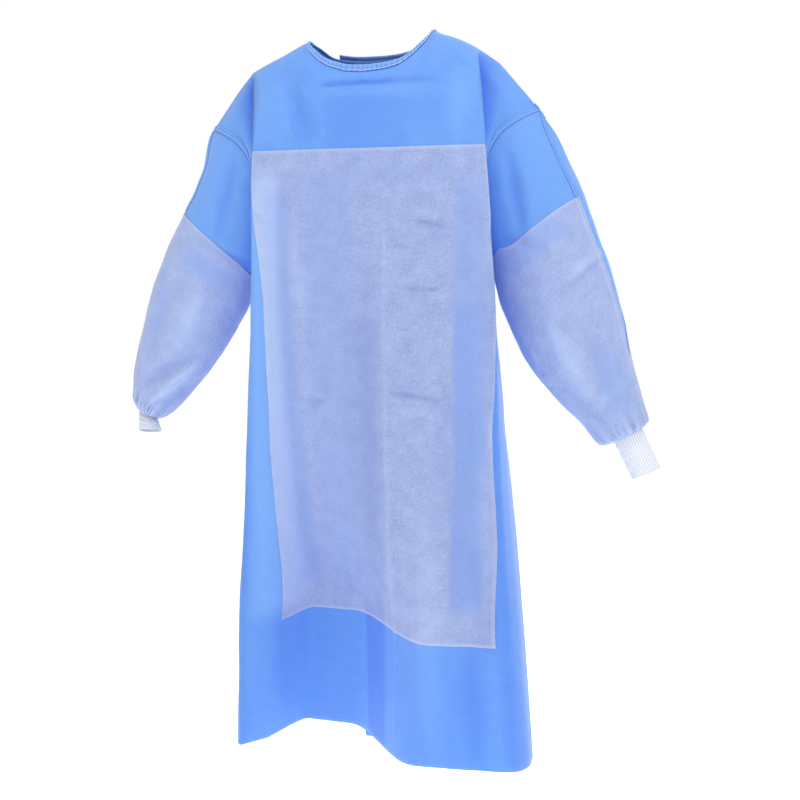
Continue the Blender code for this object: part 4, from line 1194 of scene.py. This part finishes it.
# The painted shade and painted highlights of each piece, as the marks that its material reads.
paint_marks = lambda name: {"hollow": painted_shades[name], "ridge": painted_highlights[name]}
panel = cloth("gown_front", front, CLOTH, blue, marks=paint_marks("front"))
heights = rows()
low = int(np.searchsorted(heights, PATCH_BOTTOM_Z - 1e-9))
high = int(np.searchsorted(heights, PATCH_TOP_Z - 1e-9))
edge = sum(SIDE_COUNTS[:3])
corner = edge - SIDE_COUNTS[2]
last = front.shape[1] - 1
across = lengths(front, 1)
reach = 0.0052


def patch_start(gap):
    """How many threads past its own line the patch reaches, to come up to the fold corner."""
    high_up = smooth(-0.66, -0.56, heights[low : high + 1])
    return SIDE_COUNTS[2] * reach / gap * (1 - smooth(0.0062, 0.0130, gap)) * high_up


right = edge - patch_start(across[low : high + 1, edge] - across[low : high + 1, corner])
left = last - edge + patch_start(across[low : high + 1, last - corner] - across[low : high + 1, last - edge])
inner = np.broadcast_to(np.arange(edge, last - edge + 1), (high + 1 - low, last + 1 - 2 * edge))
columns = [right[:, None], 0.5 * (right[:, None] + edge), inner, 0.5 * (left[:, None] + last - edge), left[:, None]]
columns = np.concatenate(columns, axis=1)
lines = np.arange(low, high + 1)[:, None] + 0.0 * columns
lifted = on_grid(front, lines, columns) + (PATCH_LIFT + PATCH_CLOTH) * on_grid(ups[0], lines, columns)
rim = edge_fade(lifted, 0.004, columns=(0, -1), lines=(0, -1))
# The front's painted shade and highlights, carried onto the patch over it.
marks = {name: on_grid(values[..., None], lines, columns)[..., 0] for name, values in paint_marks("front").items()}
marks.update(glue=marked(lifted, GLUE), edge=1 - rim)
patch = cloth("chest_reinforcement", lifted, PATCH_CLOTH, lavender, marks=marks)

for i, side in enumerate(backs):
    cloth(
        "gown_back_" + side, backs[side], CLOTH, blue, flip=turned[side], marks=paint_marks("back_" + side)
    )
    cloth(
        "gown_sleeve_" + side, sleeves[side], CLOTH, blue, closed=True, flip=turned[side],
        marks=paint_marks("sleeve_" + side),
    )

rings = sleeve_rings()
wrapped = np.append(turns, 1.0)
for i, side in enumerate(sleeves):
    top = LEFT_PATCH_TOP if side == "left" else RIGHT_PATCH_TOP
    grid, up = sleeves[side], ups[3 + i]
    around = np.linspace(0, 1, 230)
    down = np.linspace(0, 1, 120) ** 0.9
    along = read(top, "along", around)[None, :] * (1 - down[:, None]) + 0.999 * down[:, None]
    first = read(SLEEVE_SEAM, "turn", np.clip(along[:, :1], 0, 0.96)) + 0.004
    last = read(SLEEVE_PATCH_BACK, "turn", np.clip(along[:, :1], 0, 1.0))
    turn = first + (last - first) * around[None, :]
    lines = np.interp(along, rings, np.arange(len(rings)))
    columns = np.interp(turn % 1.0, wrapped, np.arange(len(wrapped))) + len(turns) * np.floor(turn)
    lifted = on_grid(grid, lines, columns) + 0.0011 * on_grid(up, lines, columns)
    glue = LEFT_SLEEVE_GLUE_AND_SHADE if side == "left" else RIGHT_SLEEVE_GLUE
    rim = edge_fade(lifted, 0.006, columns=(0, -1), lines=(0,))
    faces_front = on_grid(up, lines, columns)[..., 1] < 0.2
    # The sleeve's painted shade and highlights, carried onto the patch over it.
    marks = {
        name: on_grid(values[..., None], lines, columns)[..., 0]
        for name, values in paint_marks("sleeve_" + side).items()
    }
    marks.update(glue=marked(lifted, glue) * faces_front, edge=1 - rim)
    cloth(
        "sleeve_reinforcement_" + side, lifted, PATCH_CLOTH, lavender, flip=turned[side], marks=marks
    )

for side in sleeves:
    ring = cuff_points(side)
    angle = np.linspace(0, 2 * np.pi, ring.shape[1], endpoint=False)
    wave = 0.5 + 0.5 * np.cos(CUFF_RIBS * angle)
    centre = ring.mean(axis=1, keepdims=True)
    out = (ring - centre) / np.linalg.norm(ring - centre, axis=-1, keepdims=True)
    t = np.linspace(0, 1, ring.shape[0])[:, None]
    swell = 0.0006 * np.sin(9 * np.pi * t) * np.cos(angle * 2 + 1)
    deep = 0.0005 * wave[None, :] * (1 - 0.7 * smooth(0.97, 1.0, t))
    ring = ring + out * (deep - 0.0005 + swell)[..., None]
    # Painted shade between the ribs; the wearer's right cuff is painted darker all over, for the shade it hangs in.
    rib_shade_paint = wave if side == "left" else 0.15 + 0.20 * wave
    marks = {"rib": np.broadcast_to(rib_shade_paint, ring.shape[:2])}
    cloth(
        "knit_cuff_" + side, ring, KNIT, knit, closed=True, flip=turned[side], marks=marks
    )

def lines_at(grid, reach, columns, top=False):
    """The fractional lines of a grid at these real distances from its first or its top line."""
    run = lengths(grid, 0)
    steps = np.arange(grid.shape[0])
    if top:
        run, steps = (run[-1] - run)[::-1], steps[::-1]
    nearest = np.round(columns).astype(int) % grid.shape[1]
    reach = np.broadcast_to(reach, columns.shape)
    return np.array([np.interp(r, run[:, k], steps) for r, k in zip(reach, nearest)])


def from_edge(grid, reach, columns):
    """Points on a panel at these reaches down from its top edge."""
    return on_grid(grid, lines_at(grid, reach, columns, top=True), columns)


def neck_binding(name, grid, up, first, last, flip):
    """Tape folded over the neck edge: its band, puckered by the stitches, its fold, its lip."""
    columns = np.linspace(first, last, 4 * (last - first) + 1)
    along = lengths(grid, 1)[-1]
    run = np.interp(columns, np.arange(len(along)), along)
    pucker = 0.5 + 0.5 * np.sin(2 * np.pi * run / 0.0085 + 1.6 * np.sin(run / 0.013))
    uneven = 0.5 + 0.5 * np.sin(2 * np.pi * run / 0.031 + 0.6)
    grid_out = []
    for share_of in (1.0, 0.93, 0.84, 0.70, 0.50, 0.30, 0.12):
        reach = (BINDING_WIDTH + 0.0007 * pucker - 0.0006 * uneven) * share_of
        base = from_edge(grid, reach, columns)
        normal = on_grid(up, grid.shape[0] - 1.001, columns)
        bulge = np.sin(np.pi * min(1, share_of * 1.02)) * (0.0004 + 0.0017 * pucker)
        grid_out.append(base + (0.0014 + bulge)[:, None] * normal)
    edge = on_grid(grid, grid.shape[0] - 1.0, columns)
    inner = from_edge(grid, 0.0015, columns)
    away = (edge - inner) / np.linalg.norm(edge - inner, axis=1, keepdims=True)
    normal = on_grid(up, grid.shape[0] - 1.001, columns)
    middle_of = edge - 0.5 * CLOTH * normal
    radius = 0.5 * CLOTH + 0.0011
    for angle in np.radians((15, 50, 90, 130, 165)):
        grid_out.append(middle_of + radius * (np.cos(angle) * normal + np.sin(angle) * away))
    for reach in (0.0010, 0.0022, 0.0032):
        base = from_edge(grid, reach, columns)
        grid_out.append(base - (CLOTH + 0.0011) * normal)
    made = np.array(grid_out)
    # Painted shade in the tape's puckers, and no painted highlight.
    pucker_shade_paint = (1 - pucker)[None, :] * np.array([0.2, 0.5, 0.9, 1.0, 0.9, 0.5] + [0.1] * (len(made) - 6))[:, None]
    piece = cloth(name, made, BINDING, tape_blue, flip=flip, marks={"hollow": 0.8 * pucker_shade_paint, "ridge": 0.0 * pucker_shade_paint})
    ups_here = normals_of(made, flip=not flip)
    ups_here = ups_here / np.linalg.norm(ups_here, axis=-1, keepdims=True)
    seam = stitches("stitches_" + name, made[0] + 0.0003 * ups_here[0], ups_here[0], thread, 0.0042)
    # A painted shadow: a line of dark blue thread just below the tape's lower edge.
    under = from_edge(grid, BINDING_WIDTH + 0.0019, columns) + 0.0004 * normal
    stitches("painted_shadow_line_" + name, under, normal, shadow_line_thread, 0.0044)
    return piece, seam


bindings = {"neck_binding_front": neck_binding("neck_tape_front", front, ups[0], neck, front.shape[1] - neck - 1, False)}
for i, side in enumerate(backs):
    bindings["neck_binding_back_" + side] = neck_binding(
        "neck_tape_back_" + side, backs[side], ups[1 + i], neck, backs[side].shape[1] - 1, turned[side]
    )

seams = []
for i, side in enumerate(sleeves):
    grid, up = sleeves[side], ups[3 + i]
    size = lengths(np.concatenate([grid, grid[:, :1]], axis=1), 1)[:, -1]
    for name, low_end, high_end, look in (
        ("sleeve_seam_" + side, 0.004, 0.272, blue),
        ("sleeve_seam_patch_" + side, 0.268, 0.958, lavender),
    ):
        along = np.linspace(low_end, high_end, 140)
        lines = np.interp(along, rings, np.arange(len(rings)))[:, None]
        wide = SEAM_STRIP / np.interp(along, rings, size)[:, None]
        turn = read(SLEEVE_SEAM, "turn", along)[:, None] + wide * np.linspace(-0.75, 0.25, 9)
        columns = np.interp(turn % 1.0, wrapped, np.arange(len(wrapped)))
        columns = columns + len(turns) * np.floor(turn)
        arch = SEAM_RISE
        strip = on_grid(grid, lines, columns) + arch[None, :, None] * on_grid(up, lines, columns)
        marks = {"glue": np.zeros(strip.shape[:2]), "edge": 0.6 * np.ones(strip.shape[:2])}
        piece = cloth(name, strip, 0.0005, look, flip=turned[side], marks=marks)
        seams.append((piece, lengths(strip, 0)[-1].mean(), look))
        out = on_grid(up, lines, columns)
        if look is blue:
            for k in (1, 7):
                stitches(f"stitches_{name}_{k}", strip[:, k], out[:, k], thread_blue, 0.0040)

start = int(np.searchsorted(rows(), UNDERARM_Z - 1e-9))
panels = {"front": (front, ups[0]), "back_left": (backs["left"], ups[1]), "back_right": (backs["right"], ups[2])}
for face, side in (("front", "left"), ("front", "right"), ("back_left", "left"), ("back_right", "right")):
    grid, up = panels[face]
    if face == "front" and side == "left":
        grid, up = grid[:, ::-1], up[:, ::-1]
    grid, up = grid[start:], up[start:]
    run = lengths(grid, 1)
    reach = np.linspace(0.0004, 0.0090, 9)
    columns = np.array([np.interp(reach, row, np.arange(len(row))) for row in run])
    lines = np.arange(grid.shape[0])[:, None] + 0 * columns
    strip = on_grid(grid, lines, columns) + SEAM_RISE[None, :, None] * on_grid(up, lines, columns)
    name = "armhole_seam_" + (face + "_" + side if face == "front" else face)
    turned_over = (face == "front") == (side == "left")
    piece = cloth(name, strip, 0.0005, blue, flip=turned_over)
    seams.append((piece, lengths(strip, 0)[-1].mean(), blue))
    out = on_grid(up, lines, columns)
    for k in (2, 7):
        stitches(f"stitches_{name}_{k}", strip[:, k], out[:, k], thread_blue, 0.0040)


# The end of the sleeve seam's allowance, which stands out past the armhole at the left shoulder.
start = armhole("left", 0.0) + (-0.012, 0, 0.004)
out, along_seam, across_seam = np.array([0.72, 0.0, 0.69]), np.array([0.66, 0.0, -0.75]), np.array([0, -1.0, 0])
u, v = np.meshgrid(np.linspace(0, 1, 9), np.linspace(0, 1, 13))
tail = start - 0.007 * out - 0.003 * along_seam + u[..., None] * 0.015 * out + v[..., None] * 0.011 * along_seam
tail = tail + (-0.004 + 0.0016 * np.sin(4 * np.pi * v) * u + 0.002 * u * u)[..., None] * -across_seam
# Painted shade over the tail, deeper along its waves.
tail_piece = cloth("sleeve_seam_tail", tail, 0.0007, blue, marks={"hollow": 0.3 + 0.3 * np.sin(4 * np.pi * v)})


def carried(points):
    """How the back panels under these points were moved by their creases."""
    free = read(BACK_EDGE, "right_x", points[..., 2])
    out = np.zeros_like(points)
    for at in np.ndindex(points.shape[:2]):
        places, moves = back_moves["right" if points[at][0] < free[at] else "left"]
        far = np.linalg.norm((places - points[at])[:, (0, 2)], axis=1) + 1e-6
        near = np.argsort(far)[:6]
        out[at] = (moves[near] / far[near, None] ** 2).sum(axis=0) / (1 / far[near] ** 2).sum()
    return out


tab_grid = tab_points(0.0022)
tab_grid = tab_grid + carried(tab_grid)
cloth("neck_tape_tab", tab_grid, 0.0008, tape, flip=True)

declare("front")
declare("front_patch")
for side in backs:
    declare("back_" + side)
    declare("sleeve_" + side)
    declare(
        "sleeve_patch_" + side,
    )
    declare("cuff_" + side)
for node, (piece, seam) in bindings.items():
    wide = 0.25 if node == "neck_binding_front" else 0.20
    declare(node)
declare("neck_tab")
declare(None)
for piece, long, look in seams:
    declare(None)

floor_mesh = bpy.data.meshes.new("floor")
reach, floor_z = 14.0, -1.62
floor_mesh.from_pydata(
    [(-reach, -reach, floor_z), (reach, -reach, floor_z), (reach, reach, floor_z), (-reach, reach, floor_z)],
    [], [(0, 1, 2, 3)],
)
floor = bpy.data.objects.new("floor", floor_mesh)
bpy.context.collection.objects.link(floor)
plain = bpy.data.materials.new("white_studio_floor")
plain.use_nodes = True
plain.node_tree.nodes["Principled BSDF"].inputs["Base Color"].default_value = linear("#ffffff")
plain.node_tree.nodes["Principled BSDF"].inputs["Roughness"].default_value = 0.9
plain.node_tree.nodes["Principled BSDF"].inputs["Emission Color"].default_value = (1, 1, 1, 1)
plain.node_tree.nodes["Principled BSDF"].inputs["Emission Strength"].default_value = 0.58
floor_mesh.materials.append(plain)


def soft_light(name, place, target, size, energy):
    """A large square soft box aimed at a target."""
    lamp = bpy.data.lights.new(name, "AREA")
    lamp.shape = "SQUARE"
    lamp.size = size
    lamp.energy = energy
    made = bpy.data.objects.new(name, lamp)
    bpy.context.collection.objects.link(made)
    made.location = place
    made.rotation_euler = (Vector(target) - Vector(place)).to_track_quat("-Z", "Y").to_euler()


soft_light("key", (-2.5, -2.3, 1.3), (0, 0, -0.5), 1.3, 21)
soft_light("top", (1.2, -1.1, 2.3), (0, 0, -0.3), 1.8, 54)
soft_light("low", (0.3, -2.6, -1.35), (0, 0, -0.4), 2.0, 4)
soft_light("back", (0.8, 3.0, 0.9), (0, 0, -0.5), 2.6, 46)

scene = bpy.context.scene
scene.view_settings.view_transform = "Standard"
sky = bpy.data.worlds.new("white_studio")
sky.use_nodes = True
ray = add(sky.node_tree, "LightPath")
bright = add(sky.node_tree, "MapRange", Value=(ray, 0), To_Min=0.51, To_Max=1.0)
sky.node_tree.links.new(bright.outputs[0], sky.node_tree.nodes["Background"].inputs["Strength"])
sky.node_tree.nodes["Background"].inputs["Color"].default_value = (1, 1, 1, 1)
scene.world = sky

lens = bpy.data.cameras.new("view")
lens.sensor_width = 36.0
lens.lens = 65.1
eye = bpy.data.objects.new("view", lens)
bpy.context.collection.objects.link(eye)
eye.location = (0.6748, -2.3618, -0.3351)
eye.rotation_euler = (Vector((0.042, 0, -0.605)) - eye.location).to_track_quat("-Z", "Y").to_euler()
scene.camera = eye
